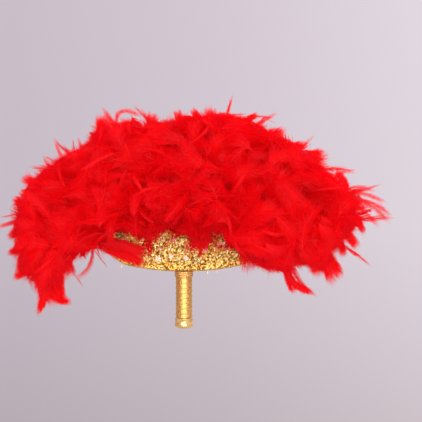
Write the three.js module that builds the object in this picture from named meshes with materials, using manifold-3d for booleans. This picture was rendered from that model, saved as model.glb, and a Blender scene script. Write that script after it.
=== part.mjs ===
// A hand fan: a stiff rounded board covered in gold lace, dressed with bunches of red
// feathers, on a short ribbon-wound handle. Millimetres, +Z up, the front of the fan
// faces -Y, and the origin is the middle of the grip.
import * as THREE from 'three';
import { mergeVertices } from 'three/addons/utils/BufferGeometryUtils.js';
import Module from 'manifold-3d';

const wasm = await Module();
wasm.setup();

// Clearances
const seatGap = 0.3;
const cutOverrun = 2;

// Board
const boardHalfWidth = 107;
const boardHeight = 125;
const lowerEdgeRadius = 365;
const lowerCornerRadius = 46;
const boardThickness = 5;

// Covers on the two faces of the board
const coverThickness = 1.2;
const coverInset = 1.5;

// Braid that wraps the lower edge
const braidWall = 1.2;
const braidDepth = 7;
const braidScallopDepth = 0.8;
const braidScallopLength = 12;
const braidEndAngle = -10;

// Handle
const gripLength = 54;
const gripRadius = 10.4;
const ribbonWidth = 7;
const ribbonThickness = 1.1;
const dowelRadius = 8;
const tangWidth = 15;
const tangLength = 62;
const tangCornerRadius = 5;
const collarHeight = 7;
const collarRadius = 12.6;
const collarBeadHeight = 1.1;
const endCapHeight = 14;
const endCapRadius = 12.4;
const endCapFootRadius = 9;
const endCapRounding = 3;
const endCapBoreDepth = 8;

// Bead clusters on the lace
const clusterRadius = 3.6;
const clusterHeight = 2.6;

// Feathers
const featherCentreHeight = 60;
const featherReach = 240;
const frontCrown = 84;
const backCrown = 58;
const frontStagger = 13;
const backStagger = 9;
const bindingRadius = 5;
const bindingHeight = 4.6;
const quillRadius = 1.1;
const quillPocketDepth = 12;
const plumeHalfWidth = 8.5;
const plumeRib = 1;
const plumeCurl = 2.2;
const bladeRib = 1.5;

// How finely round and curved pieces are cut
const outlineSegments = 7;
const slotSegments = 3;
const roundSegments = 20;

// Heights along the handle and up to the board
const gripTop = gripLength / 2;
const gripBottom = -gripLength / 2;
const collarBottom = gripTop + seatGap;
const collarTop = collarBottom + collarHeight;
const boardBottom = collarTop + seatGap + braidWall + seatGap;
const endCapTop = gripBottom - seatGap;
const endCapBottom = endCapTop - endCapHeight;
const dowelBottom = endCapTop - endCapBoreDepth + seatGap;
const tangTop = boardBottom + tangLength;
const featherCentre = boardBottom + featherCentreHeight;

// Faces across the board, as distances from its middle plane
const boardFace = boardThickness / 2;
const coverInner = boardFace + seatGap;
const coverFace = coverInner + coverThickness;
const overCover = coverFace + seatGap;

// The rounded lower corner touches the lower edge's arc and the straight-up side of the board.
const cornerX = boardHalfWidth - lowerCornerRadius;
const edgeCentre = boardBottom + lowerEdgeRadius;
const cornerZ = edgeCentre - Math.sqrt((lowerEdgeRadius - lowerCornerRadius) ** 2 - cornerX ** 2);
const cornerEndAngle = Math.atan2(cornerZ - edgeCentre, cornerX);
const boardRise = boardBottom + boardHeight - cornerZ;

// How far the feathers reach from their centre, as shares of featherReach, in even steps
// of their direction's angle in degrees.
const reachStepAngle = 15;
const outerReachStartAngle = -30;
const outerReachShares = [
  0.74, 0.88, 1.02, 0.94, 0.82, 0.74, 0.71, 0.64, 0.63,
  0.63, 0.70, 0.76, 0.82, 0.89, 0.96, 0.96, 0.86,
];
const innerReachShares = [
  0.58, 0.55, 0.51, 0.48, 0.46, 0.44, 0.43, 0.44, 0.46, 0.48, 0.51, 0.55,
  0.58, 0.54, 0.38, 0.22, 0.12, 0.08, 0.07, 0.09, 0.20, 0.22, 0.38, 0.54,
];

// The rows of feather bunches. Root shares follow the board, reach shares the tables
// above, and crown shares the height of the feathers over the cover. Row angles run from
// the right over the top to the left.
const rows = [
  {
    name: 'front_rim_bunch', side: -1, bunches: 6, blades: 7,
    fromAngle: -30, toAngle: 210, inner: false,
    rootWidthShare: 0.87, rootHeightShare: 0.77, rootLiftShare: 0.09, rootAngleShare: 0.86,
    reachShare: 1, crownShare: 0.44, staggerShare: 0.5,
  },
  {
    name: 'front_middle_bunch', side: -1, bunches: 6, blades: 5,
    fromAngle: -27, toAngle: 207, inner: false,
    rootWidthShare: 0.6, rootHeightShare: 0.52, rootLiftShare: 0.15, rootAngleShare: 0.86,
    reachShare: 0.96, crownShare: 0.86, staggerShare: 0.8,
  },
  {
    name: 'front_inner_bunch', side: -1, bunches: 6, blades: 5,
    fromAngle: -60, toAngle: 300, inner: true,
    rootWidthShare: 0.3, rootHeightShare: 0.18, rootLiftShare: 0.3, rootAngleShare: 1,
    reachShare: 1.08, crownShare: 1.08, staggerShare: 1,
  },
  {
    name: 'front_crown_bunch', side: -1, bunches: 1, blades: 7,
    fromAngle: -15, toAngle: 195, inner: true,
    rootWidthShare: 0.08, rootHeightShare: 0.06, rootLiftShare: 0.24, rootAngleShare: 1,
    reachShare: 0.56, crownShare: 1.16, staggerShare: 1,
  },
  {
    name: 'back_rim_bunch', side: 1, bunches: 6, blades: 5,
    fromAngle: -28, toAngle: 208, inner: false,
    rootWidthShare: 0.85, rootHeightShare: 0.76, rootLiftShare: 0.09, rootAngleShare: 0.86,
    reachShare: 0.97, crownShare: 0.7, staggerShare: 0.6,
  },
  {
    name: 'back_inner_bunch', side: 1, bunches: 5, blades: 6,
    fromAngle: -54, toAngle: 306, inner: true,
    rootWidthShare: 0.4, rootHeightShare: 0.26, rootLiftShare: 0.25, rootAngleShare: 1,
    reachShare: 1.25, crownShare: 1.12, staggerShare: 1,
  },
];

// Single plumes with their quills in the board's edge: where the quill enters, where the
// tip ends, how far past the bunches it reaches, how much it bends, and its width.
const plumes = [
  { rimAngle: 0, tipAngle: -28, reachShare: 1.06, bendShare: -0.1, widthShare: 0.8 },
  { rimAngle: 9, tipAngle: -12, reachShare: 1.16, bendShare: -0.1, widthShare: 0.6 },
  { rimAngle: 18, tipAngle: 2, reachShare: 1.12, bendShare: 0.06, widthShare: 1.1 },
  { rimAngle: 28, tipAngle: 11.5, reachShare: 1.13, bendShare: 0.08, widthShare: 0.8 },
  { rimAngle: 38, tipAngle: 18.5, reachShare: 1.06, bendShare: -0.12, widthShare: 0.7 },
  { rimAngle: 50, tipAngle: 34, reachShare: 1.05, bendShare: 0.12, widthShare: 0.9 },
  { rimAngle: 62, tipAngle: 51, reachShare: 1.08, bendShare: -0.18, widthShare: 0.8 },
  { rimAngle: 76, tipAngle: 69.5, reachShare: 1.13, bendShare: 0.05, widthShare: 0.6 },
  { rimAngle: 104, tipAngle: 112, reachShare: 1.05, bendShare: 0.2, widthShare: 0.8 },
  { rimAngle: 118, tipAngle: 125, reachShare: 1.07, bendShare: 0.04, widthShare: 0.9 },
  { rimAngle: 134, tipAngle: 147, reachShare: 1.04, bendShare: -0.08, widthShare: 0.8 },
  { rimAngle: 148, tipAngle: 159, reachShare: 1.03, bendShare: 0.1, widthShare: 0.9 },
  { rimAngle: 163, tipAngle: 180, reachShare: 1.06, bendShare: 0.04, widthShare: 0.7 },
  { rimAngle: 178, tipAngle: 209, reachShare: 1.06, bendShare: 0.12, widthShare: 0.8 },
];

// Places of the bead clusters, as shares of the board's half width and height.
const clusterShares = [
  [-0.315, 0.12], [-0.158, 0.147], [0.025, 0.128], [0.268, 0.216],
  [0.493, 0.269], [-0.115, 0.333], [-0.538, 0.208], [-0.773, 0.317],
];

const red = new THREE.Color(0xe60a17);
const gold = new THREE.Color(0xd9a23c);

function featherMaterial() {
  return new THREE.MeshStandardMaterial({ color: red, roughness: 0.85, metalness: 0 });
}

function laceMaterial() {
  return new THREE.MeshStandardMaterial({ color: gold, roughness: 0.35, metalness: 0.8 });
}

function named(name, geometry, material) {
  const mesh = new THREE.Mesh(geometry, material);
  mesh.name = name;
  return mesh;
}

function radians(degrees) {
  return THREE.MathUtils.degToRad(degrees);
}

// Six times the volume inside a closed geometry, negative when its faces point in.
function signedVolume(geometry) {
  const position = geometry.getAttribute('position');
  const corner = [new THREE.Vector3(), new THREE.Vector3(), new THREE.Vector3()];
  let sum = 0;
  for (let i = 0; i < geometry.index.count; i += 3) {
    corner.forEach((point, j) => point.fromBufferAttribute(position, geometry.index.getX(i + j)));
    sum += corner[0].dot(corner[1].clone().cross(corner[2]));
  }
  return sum;
}

function closedGeometry(points, faces) {
  const geometry = new THREE.BufferGeometry();
  geometry.setFromPoints(points);
  geometry.setIndex(faces.flat());
  if (signedVolume(geometry) < 0) {
    geometry.setIndex(faces.map(([a, b, c]) => [a, c, b]).flat());
  }
  geometry.computeVertexNormals();
  return geometry;
}

// Joins rings of equal count into one closed body. The last ring may be a single point, and capFaces are the
// triangles that close a ring that isn't convex.
function loft(rings, capFaces = null) {
  const count = rings[0].length;
  const points = rings.flat();
  const cap = capFaces ?? rings[0].slice(2).map((_, i) => [0, i + 1, i + 2]);
  const faces = cap.map(([a, b, c]) => [c, b, a]);
  for (let r = 0; r + 1 < rings.length; r += 1) {
    const low = r * count;
    const high = low + count;
    for (let i = 0; i < count; i += 1) {
      const next = (i + 1) % count;
      if (rings[r + 1].length === 1) {
        faces.push([low + i, low + next, high]);
      } else {
        faces.push([low + i, low + next, high + next], [low + i, high + next, high + i]);
      }
    }
  }
  if (rings.at(-1).length > 1) {
    const last = (rings.length - 1) * count;
    cap.forEach(([a, b, c]) => faces.push([last + a, last + b, last + c]));
  }
  return closedGeometry(points, faces);
}

function toSolid(geometry) {
  const bare = geometry.clone();
  bare.deleteAttribute('normal');
  bare.deleteAttribute('uv');
  const merged = mergeVertices(bare);
  const vertProperties = new Float32Array(merged.getAttribute('position').array);
  const triVerts = new Uint32Array(merged.index.array);
  return new wasm.Manifold(new wasm.Mesh({ numProp: 3, vertProperties, triVerts }));
}

function toGeometry(solid) {
  const { vertProperties, triVerts } = solid.getMesh();
  const geometry = new THREE.BufferGeometry();
  geometry.setAttribute('position', new THREE.BufferAttribute(new Float32Array(vertProperties), 3));
  geometry.setIndex(new THREE.BufferAttribute(new Uint32Array(triVerts), 1));
  geometry.computeVertexNormals();
  return geometry;
}

function subtractAll(geometry, tools) {
  const cut = tools.reduce((solid, tool) => solid.subtract(toSolid(tool)), toSolid(geometry));
  return toGeometry(cut);
}

function addAll(geometries) {
  const [first, ...rest] = geometries.map(toSolid);
  return toGeometry(rest.reduce((solid, part) => solid.add(part), first));
}

// A flat plate of the given outline, standing in the XZ plane, with its front at y.
function plate(shape, thickness, y, curveSegments) {
  const geometry = new THREE.ExtrudeGeometry(shape, { depth: thickness, bevelEnabled: false, curveSegments });
  geometry.rotateX(Math.PI / 2);
  geometry.translate(0, y + thickness, 0);
  return geometry;
}

// The board's outline: a shallow lower arc, two rounded corners and half an ellipse over the top.
function boardOutline(inset) {
  const cornerRadius = lowerCornerRadius - inset;
  const shape = new THREE.Shape();
  shape.absarc(0, edgeCentre, lowerEdgeRadius - inset, -Math.PI - cornerEndAngle, cornerEndAngle, false);
  shape.absarc(cornerX, cornerZ, cornerRadius, cornerEndAngle, 0, false);
  shape.absellipse(0, cornerZ, boardHalfWidth - inset, boardRise - inset, 0, Math.PI, false);
  shape.absarc(-cornerX, cornerZ, cornerRadius, Math.PI, -Math.PI - cornerEndAngle + 2 * Math.PI, false);
  return shape;
}

// A point of the board's edge and the direction straight out of it. Angles of 0 to 180
// degrees run over the top, and those outside it go on down the rounded corners.
function rimAt(degrees) {
  const angle = radians(degrees);
  const cos = Math.cos(angle);
  const sin = Math.sin(angle);
  if (sin < 0) {
    const out = new THREE.Vector3(cos, 0, sin);
    const centre = new THREE.Vector3(Math.sign(cos) * cornerX, 0, cornerZ);
    return { point: centre.addScaledVector(out, lowerCornerRadius), out };
  }
  return {
    point: new THREE.Vector3(boardHalfWidth * cos, 0, cornerZ + boardRise * sin),
    out: new THREE.Vector3(cos * boardRise, 0, sin * boardHalfWidth).normalize(),
  };
}

// The quill's route: out of its pocket square to the edge, then in a bend to the tip.
function plumePath(plume) {
  const { point, out } = rimAt(plume.rimAngle);
  const root = point.clone().addScaledVector(out, seatGap - quillPocketDepth);
  const tip = reachPoint(plume.tipAngle, plume.reachShare, false);
  const length = tip.distanceTo(point);
  const across = new THREE.Vector3(tip.z - point.z, 0, point.x - tip.x).normalize();
  const startShare = 0.3;
  const endShare = 0.68;
  const start = point.clone().addScaledVector(out, length * startShare);
  const end = point.clone().lerp(tip, endShare).addScaledVector(across, length * plume.bendShare);
  return { root, out, curve: new THREE.CubicBezierCurve3(point, start, end, tip) };
}

function quillPocket(plume) {
  const { point, out } = rimAt(plume.rimAngle);
  const sides = 6;
  const length = quillPocketDepth + cutOverrun;
  const radius = quillRadius + seatGap;
  const pocket = new THREE.CylinderGeometry(radius, radius, length, sides);
  pocket.rotateZ(Math.atan2(out.z, out.x) - Math.PI / 2);
  pocket.rotateX(Math.PI / 2);
  const middle = point.clone().addScaledVector(out, cutOverrun - length / 2);
  pocket.translate(middle.x, 0, middle.z);
  return pocket;
}

function tangShape(margin) {
  const half = tangWidth / 2 + margin;
  const top = tangTop + margin;
  const radius = tangCornerRadius + margin;
  const shape = new THREE.Shape();
  shape.moveTo(-half, collarTop - seatGap);
  shape.lineTo(half, collarTop - seatGap);
  shape.lineTo(half, top - radius);
  shape.absarc(half - radius, top - radius, radius, 0, Math.PI / 2, false);
  shape.absarc(radius - half, top - radius, radius, Math.PI / 2, Math.PI, false);
  return shape;
}

function coreBoard() {
  const body = plate(boardOutline(0), boardThickness, -boardFace, outlineSegments);
  const slotDepth = boardThickness + 2 * cutOverrun;
  const slot = plate(tangShape(seatGap), slotDepth, -boardFace - cutOverrun, slotSegments);
  const geometry = subtractAll(body, [slot, ...plumes.map(quillPocket)]);
  const material = new THREE.MeshStandardMaterial({ color: 0xe9e2d2, roughness: 0.8, metalness: 0 });
  return named('core_board', geometry, material);
}

function cover(y) {
  return plate(boardOutline(coverInset), coverThickness, y, outlineSegments);
}

function frontCover() {
  return named('front_lace_cover', cover(-coverFace), laceMaterial());
}

function backCover() {
  const material = new THREE.MeshStandardMaterial({ color: 0xc8922f, roughness: 0.5, metalness: 0.4 });
  return named('back_lining', cover(coverInner), material);
}

// The edge that the braid follows, from the right corner down along the lower edge to the left corner.
function braidStations() {
  const startAngle = radians(braidEndAngle);
  const cornerLength = lowerCornerRadius * (startAngle - cornerEndAngle);
  const halfSweep = cornerEndAngle + Math.PI / 2;
  const lowerLength = 2 * lowerEdgeRadius * halfSweep;
  const whole = 2 * cornerLength + lowerLength;
  const steps = 2 * Math.round(whole / braidScallopLength);
  return Array.from({ length: steps + 1 }, (_, i) => {
    const along = (whole * i) / steps;
    const last = whole - cornerLength;
    let centre = new THREE.Vector3(0, 0, edgeCentre);
    let radius = lowerEdgeRadius;
    let angle = cornerEndAngle - (along - cornerLength) / lowerEdgeRadius;
    if (along < cornerLength) {
      centre = new THREE.Vector3(cornerX, 0, cornerZ);
      radius = lowerCornerRadius;
      angle = startAngle - along / lowerCornerRadius;
    } else if (along > last) {
      centre = new THREE.Vector3(-cornerX, 0, cornerZ);
      radius = lowerCornerRadius;
      angle = -Math.PI - cornerEndAngle - (along - last) / lowerCornerRadius;
    }
    const out = new THREE.Vector3(Math.cos(angle), 0, Math.sin(angle));
    return { point: centre.addScaledVector(out, radius), out, swell: i % 2 };
  });
}

// A channel that grips the edge, its inner lips waved in scallops.
function edgeBraid() {
  const inside = overCover;
  const outside = overCover + braidWall;
  const bottom = seatGap;
  const bellySwellShare = 0.5;
  const section = (swell) => {
    const lip = -braidDepth - braidScallopDepth * swell;
    const belly = seatGap + braidWall + braidScallopDepth * bellySwellShare * swell;
    return [
      [-inside, lip], [-inside, bottom], [inside, bottom], [inside, lip], [outside, lip],
      [outside, 0], [boardFace, belly], [-boardFace, belly], [-outside, 0], [-outside, lip],
    ];
  };
  const outline = section(0).map(([y, out]) => new THREE.Vector2(y, out));
  const capFaces = THREE.ShapeUtils.triangulateShape(outline, []);
  const rings = braidStations().map(({ point, out, swell }) => section(swell).map(([y, distance]) => {
    const place = point.clone().addScaledVector(out, distance);
    place.y = y;
    return place;
  }));
  const body = loft(rings, capFaces);
  const slotDepth = boardThickness + 2 * seatGap;
  const slot = plate(tangShape(seatGap), slotDepth, -boardFace - seatGap, slotSegments);
  return named('lower_edge_braid', subtractAll(body, [slot]), laceMaterial());
}

function lathe(profile, segments) {
  const geometry = new THREE.LatheGeometry(profile.map(([r, z]) => new THREE.Vector2(r, z)), segments);
  geometry.rotateX(Math.PI / 2);
  return geometry;
}

// The dowel of the handle, with the flat tang that the board's slot takes.
function handleCore() {
  const chamfer = dowelRadius - tangWidth / 2;
  const dowel = lathe([
    [0, dowelBottom], [dowelRadius - chamfer, dowelBottom], [dowelRadius, dowelBottom + chamfer],
    [dowelRadius, collarTop - chamfer], [dowelRadius - chamfer, collarTop], [0, collarTop],
  ], roundSegments);
  const tang = plate(tangShape(0), boardThickness, -boardFace, slotSegments);
  const material = new THREE.MeshStandardMaterial({ color: 0xb98a55, roughness: 0.6, metalness: 0 });
  return named('handle_core', addAll([dowel, tang]), material);
}

// A ribbon wound round the dowel, each turn lapping the one before it.
function gripWrap() {
  const sides = 18;
  const stepsPerTurn = 3;
  const turns = Math.round(gripLength / ribbonWidth);
  const steps = turns * stepsPerTurn;
  const ring = (radiusAt, z) => Array.from({ length: sides }, (_, i) => {
    const angle = (2 * Math.PI * i) / sides;
    const radius = radiusAt(i / sides);
    return new THREE.Vector3(radius * Math.cos(angle), radius * Math.sin(angle), z);
  });
  const rings = [];
  for (let k = 0; k <= steps; k += 1) {
    const turn = (turns * k) / steps;
    const lapped = (share) => 1 - THREE.MathUtils.euclideanModulo(turn - share, 1);
    const radiusAt = (share) => gripRadius + ribbonThickness * lapped(share);
    rings.push(ring(radiusAt, gripBottom + (gripLength * k) / steps));
  }
  const bore = () => dowelRadius + seatGap;
  rings.push(ring(bore, gripTop), ring(bore, gripBottom));
  const faces = [];
  rings.forEach((_, r) => {
    const low = r * sides;
    const high = ((r + 1) % rings.length) * sides;
    for (let i = 0; i < sides; i += 1) {
      const next = (i + 1) % sides;
      faces.push([low + i, low + next, high + next], [low + i, high + next, high + i]);
    }
  });
  const material = new THREE.MeshStandardMaterial({ color: 0xd4a544, roughness: 0.4, metalness: 0.3 });
  return named('grip_ribbon_wrap', closedGeometry(rings.flat(), faces), material);
}

function handleCollar() {
  const bore = dowelRadius + seatGap;
  const waist = collarRadius - collarBeadHeight;
  const third = collarHeight / 3;
  const profile = [
    [bore, collarBottom], [waist, collarBottom], [collarRadius, collarBottom + third / 2],
    [waist, collarBottom + third], [waist, collarTop - third], [collarRadius, collarTop - third / 2],
    [waist, collarTop], [bore, collarTop], [bore, collarBottom],
  ];
  return named('handle_collar', lathe(profile, roundSegments), laceMaterial());
}

function handleEndCap() {
  const bore = dowelRadius + seatGap;
  const waist = (endCapRadius + gripRadius) / 2;
  const boreFloor = endCapTop - endCapBoreDepth;
  const profile = [
    [0, endCapBottom], [endCapFootRadius, endCapBottom], [endCapRadius, endCapBottom + endCapRounding],
    [endCapRadius, boreFloor], [waist, boreFloor + endCapRounding], [endCapRadius, endCapTop],
    [bore, endCapTop], [bore, boreFloor], [0, boreFloor],
  ];
  const material = new THREE.MeshStandardMaterial({ color: 0xd9a23c, roughness: 0.3, metalness: 0.9 });
  return named('handle_end_cap', lathe(profile, roundSegments), material);
}

// A cluster of clear beads on the lace: six petals round a raised middle.
function beadCluster(index, [xShare, heightShare]) {
  const petals = 6;
  const petalDipShare = 0.68;
  const ring = (radiusShare, heightAboveShare) => Array.from({ length: 2 * petals }, (_, i) => {
    const angle = (Math.PI * i) / petals;
    const radius = clusterRadius * radiusShare * (i % 2 ? petalDipShare : 1);
    const y = -clusterHeight * heightAboveShare;
    return new THREE.Vector3(radius * Math.cos(angle), y, radius * Math.sin(angle));
  });
  const tip = [new THREE.Vector3(0, -clusterHeight, 0)];
  const geometry = loft([ring(0.85, 0), ring(1, 0.45), ring(0.5, 0.62), tip]);
  const material = new THREE.MeshStandardMaterial({ color: 0xf6e3e4, roughness: 0.15, metalness: 0.1 });
  const mesh = named(`bead_cluster_${index + 1}`, geometry, material);
  mesh.position.set(boardHalfWidth * xShare, -coverFace - seatGap, boardBottom + boardHeight * heightShare);
  return mesh;
}

function tableShare(shares, position) {
  const index = Math.floor(position);
  const wrap = (i) => shares[THREE.MathUtils.euclideanModulo(i, shares.length)];
  return THREE.MathUtils.lerp(wrap(index), wrap(index + 1), position - index);
}

// Where the feathers end in a direction from their centre, in the board's plane.
function reachPoint(degrees, reachShare, inner) {
  const last = outerReachShares.length - 1;
  const position = (degrees - outerReachStartAngle) / reachStepAngle;
  const outerPosition = THREE.MathUtils.clamp(position, 0, last);
  const share = inner
    ? tableShare(innerReachShares, degrees / reachStepAngle)
    : tableShare(outerReachShares, outerPosition);
  const reach = featherReach * share * reachShare;
  const angle = radians(degrees);
  return new THREE.Vector3(reach * Math.cos(angle), 0, featherCentre + reach * Math.sin(angle));
}

function rootPoint(row, degrees) {
  const angle = radians(90 + (degrees - 90) * row.rootAngleShare);
  const upper = boardHeight - featherCentreHeight;
  const x = boardHalfWidth * row.rootWidthShare * Math.cos(angle);
  const z = featherCentre + upper * (row.rootLiftShare + row.rootHeightShare * Math.sin(angle));
  return new THREE.Vector3(x, 0, z);
}

// A place among the feathers of a row: its direction, its share of the way from root to
// tip, and a lift. The ways of one row spread apart and its lift stays under the next
// row's, so no two bunches meet.
function featherPoint(row, degrees, share, lift) {
  const bendShare = 0.6;
  const fullnessScale = 1.3;
  const tip = reachPoint(degrees, row.reachShare, row.inner);
  const place = rootPoint(row, degrees).lerp(tip, share);
  const crown = (row.side < 0 ? frontCrown : backCrown) * row.crownShare;
  const reachRoot = Math.sqrt(tableShare(innerReachShares, degrees / reachStepAngle));
  const fullness = row.inner ? fullnessScale * reachRoot : 1;
  const rise = crown * fullness * Math.sin(Math.PI * bendShare * share);
  place.y = row.side * (overCover + bindingHeight / 2 + rise + lift);
  return place;
}

// An even scatter of shares from 0 to 1, the same on every run.
function scatter(index) {
  const goldenShare = (Math.sqrt(5) - 1) / 2;
  return THREE.MathUtils.euclideanModulo(index * goldenShare, 1);
}

// One section of a feather: its two edges and the rib raised over the middle of them.
function featherSection(row, low, high, share, lift) {
  const stepShare = 0.05;
  const right = featherPoint(row, low, share, lift);
  const left = featherPoint(row, high, share, lift);
  const rib = right.clone().lerp(left, 0.5);
  const ahead = featherPoint(row, (low + high) / 2, share + stepShare, lift).sub(rib);
  const up = left.clone().sub(right).cross(ahead).normalize();
  const upward = up.y * row.side < 0 ? -bladeRib : bladeRib;
  return [right, left, rib.addScaledVector(up, upward)];
}

// One feather of a bunch, widest past its middle and pointed at the tip.
function featherBlade(row, cell, index, seed) {
  const stations = [0, 0.3, 0.6, 0.85];
  const widthShares = [0.1, 0.7, 0.92, 0.74];
  const spreadStartShare = 0.16;
  const spreadRateShare = 2.6;
  const leastLengthShare = 0.86;
  const leastWidthShare = 0.84;
  const spacing = (cell.toAngle - cell.fromAngle) / row.blades;
  const aim = cell.fromAngle + spacing * (index + 0.5);
  const lengthShare = THREE.MathUtils.lerp(leastLengthShare, 1, scatter(seed));
  const fullWidthShare = THREE.MathUtils.lerp(leastWidthShare, 1, scatter(seed + 1));
  const stagger = (row.side < 0 ? frontStagger : backStagger) * row.staggerShare;
  const rings = stations.map((station, k) => {
    const share = station * lengthShare;
    const spread = Math.min(1, station * spreadRateShare + spreadStartShare);
    const middle = THREE.MathUtils.lerp(cell.middle, aim, spread);
    const halfWidth = (spacing / 2) * widthShares[k] * fullWidthShare;
    const low = Math.max(cell.fromAngle + cell.margin, middle - halfWidth);
    const high = Math.min(cell.toAngle - cell.margin, middle + halfWidth);
    return featherSection(row, low, high, share, stagger * station * scatter(seed + 2));
  });
  rings.push([featherPoint(row, aim, lengthShare, stagger * scatter(seed + 2))]);
  return loft(rings);
}

// The glued and tied root of a bunch, with its flat face on the cover.
function binding(row, degrees) {
  const sides = 8;
  const shoulderShare = 0.6;
  const knot = lathe([
    [0, 0], [bindingRadius, 0], [bindingRadius, bindingHeight * shoulderShare], [0, bindingHeight],
  ], sides);
  const root = rootPoint(row, degrees);
  knot.rotateX(row.side < 0 ? Math.PI / 2 : -Math.PI / 2);
  knot.translate(root.x, row.side * overCover, root.z);
  return knot;
}

function featherBunch(row, rowIndex, index) {
  const marginShare = 0.02;
  const span = (row.toAngle - row.fromAngle) / row.bunches;
  const fromAngle = row.fromAngle + span * index;
  const cell = {
    fromAngle,
    toAngle: fromAngle + span,
    middle: fromAngle + span / 2,
    margin: span * marginShare,
  };
  const blades = Array.from({ length: row.blades }, (_, i) => {
    const seed = 100 * rowIndex + 10 * index + i;
    return featherBlade(row, cell, i, seed);
  });
  const geometry = addAll([binding(row, cell.middle), ...blades]);
  return named(`${row.name}_${index + 1}`, geometry, featherMaterial());
}

// A single plume: a round quill that runs on as the rib of a vane, whose barbs part into notched clumps.
function plume(settings, index) {
  const { root, out, curve } = plumePath(settings);
  const clumps = 6;
  const vaneStartShare = 0.2;
  const notchWidthShare = 0.72;
  const clumpShare = 0.7;
  const tipShare = 0.4;
  const ribTaperShare = 0.6;
  const swellPower = 0.8;
  const across = (place, tangent, side, rise) => {
    const sideways = new THREE.Vector3(tangent.z, 0, -tangent.x).normalize();
    const moved = place.clone().addScaledVector(sideways, side);
    moved.y += rise;
    return moved;
  };
  const ringAt = (place, tangent, half, rib) => [
    across(place, tangent, -half, 0), across(place, tangent, 0, -rib),
    across(place, tangent, half, 0), across(place, tangent, 0, rib),
  ];
  const section = (t, half, rib) => {
    const place = curve.getPoint(t);
    place.y += plumeCurl * Math.sin(Math.PI * t) * (index % 2 ? 1 : -1) * t;
    return ringAt(place, curve.getTangent(t), half, rib);
  };
  const half = plumeHalfWidth * settings.widthShare;
  const rings = [
    ringAt(root, out, quillRadius, quillRadius),
    section(0, quillRadius, quillRadius),
    section(vaneStartShare, quillRadius, quillRadius),
  ];
  for (let k = 0; k < clumps; k += 1) {
    const t = THREE.MathUtils.lerp(vaneStartShare, 1, (k + clumpShare) / (clumps + tipShare));
    const notch = THREE.MathUtils.lerp(vaneStartShare, 1, (k + 1) / (clumps + tipShare));
    const swell = Math.sin(Math.PI * ((k + 1) / (clumps + 1)) ** swellPower);
    const rib = plumeRib * (1 - (ribTaperShare * k) / clumps);
    rings.push(section(t, half * swell, rib), section(notch, half * swell * notchWidthShare, rib));
  }
  rings.push([curve.getPoint(1)]);
  return named(`edge_plume_${index + 1}`, loft(rings), featherMaterial());
}

const group = new THREE.Group();
group.add(coreBoard(), frontCover(), backCover(), edgeBraid());
group.add(handleCore(), gripWrap(), handleCollar(), handleEndCap());
clusterShares.forEach((place, index) => group.add(beadCluster(index, place)));
rows.forEach((row, rowIndex) => {
  for (let index = 0; index < row.bunches; index += 1) {
    group.add(featherBunch(row, rowIndex, index));
  }
});
plumes.forEach((settings, index) => group.add(plume(settings, index)));

export default group;
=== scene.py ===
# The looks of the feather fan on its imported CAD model: real feathers on the bunches and
# plumes, sequin lace, crystal clusters, plaited edge beads and a satin-wound grip.
# The frame is the CAD's: +Z up the handle, the front faces -Y, the origin is in the grip.
# Shapes are worked out in millimetres and handed to Blender in metres.
import math
from collections import namedtuple

import bpy
import numpy as np
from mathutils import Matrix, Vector


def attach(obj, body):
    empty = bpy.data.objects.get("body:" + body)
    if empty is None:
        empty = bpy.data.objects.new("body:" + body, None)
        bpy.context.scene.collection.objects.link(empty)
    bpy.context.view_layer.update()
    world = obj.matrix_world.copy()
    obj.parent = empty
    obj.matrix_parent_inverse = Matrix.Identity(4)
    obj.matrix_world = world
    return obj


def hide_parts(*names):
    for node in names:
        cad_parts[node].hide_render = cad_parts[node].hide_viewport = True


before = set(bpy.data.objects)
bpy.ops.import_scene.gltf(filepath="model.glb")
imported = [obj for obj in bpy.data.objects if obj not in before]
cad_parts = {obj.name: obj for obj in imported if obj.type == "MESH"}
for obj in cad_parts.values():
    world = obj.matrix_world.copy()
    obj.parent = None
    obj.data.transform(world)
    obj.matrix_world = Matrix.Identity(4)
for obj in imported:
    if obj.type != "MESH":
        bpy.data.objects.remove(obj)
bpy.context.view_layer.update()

MM = 0.001
SEED = 11

# Sizes of the CAD model that the dressing follows
BOARD_HALF_WIDTH = 107
BOARD_HEIGHT = 125
LOWER_EDGE_RADIUS = 365
LOWER_CORNER_RADIUS = 46
BOARD_BOTTOM = 36.1
COVER_INNER = 2.8
COVER_FACE = 4.0
OVER_COVER = 4.3
COVER_INSET = 1.5
BRAID_END = math.radians(-10)
GRIP_BOTTOM = -27
GRIP_TOP = 27
GRIP_RADIUS = 10.4
RIBBON_WIDTH = 7
RIBBON_THICKNESS = 1.1
DOWEL_BORE = 8.3
COLLAR_BOTTOM = 27.3
COLLAR_TOP = 34.3
COLLAR_RADIUS = 12.6
COLLAR_CORDS = 3
END_CAP_TOP = -27.3
END_CAP_BOTTOM = -41.3
END_CAP_RADIUS = 12.4
END_CAP_FOOT_RADIUS = 9
END_CAP_DEPTH = 8
FEATHER_RISE = 60
FEATHER_REACH = 240
FRONT_CROWN = 84
BACK_CROWN = 58
BINDING_RADIUS = 5
BINDING_HEIGHT = 4.6
PLUME_HALF_WIDTH = 8.5
PLUME_CURL = 2.2
QUILL_POCKET = 11.7

CORNER_X = BOARD_HALF_WIDTH - LOWER_CORNER_RADIUS
EDGE_CENTRE = BOARD_BOTTOM + LOWER_EDGE_RADIUS
CORNER_Z = EDGE_CENTRE - math.sqrt((LOWER_EDGE_RADIUS - LOWER_CORNER_RADIUS) ** 2 - CORNER_X ** 2)
CORNER_END = math.atan2(CORNER_Z - EDGE_CENTRE, CORNER_X)
BOARD_RISE = BOARD_BOTTOM + BOARD_HEIGHT - CORNER_Z
FEATHER_CENTRE = BOARD_BOTTOM + FEATHER_RISE

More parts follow.
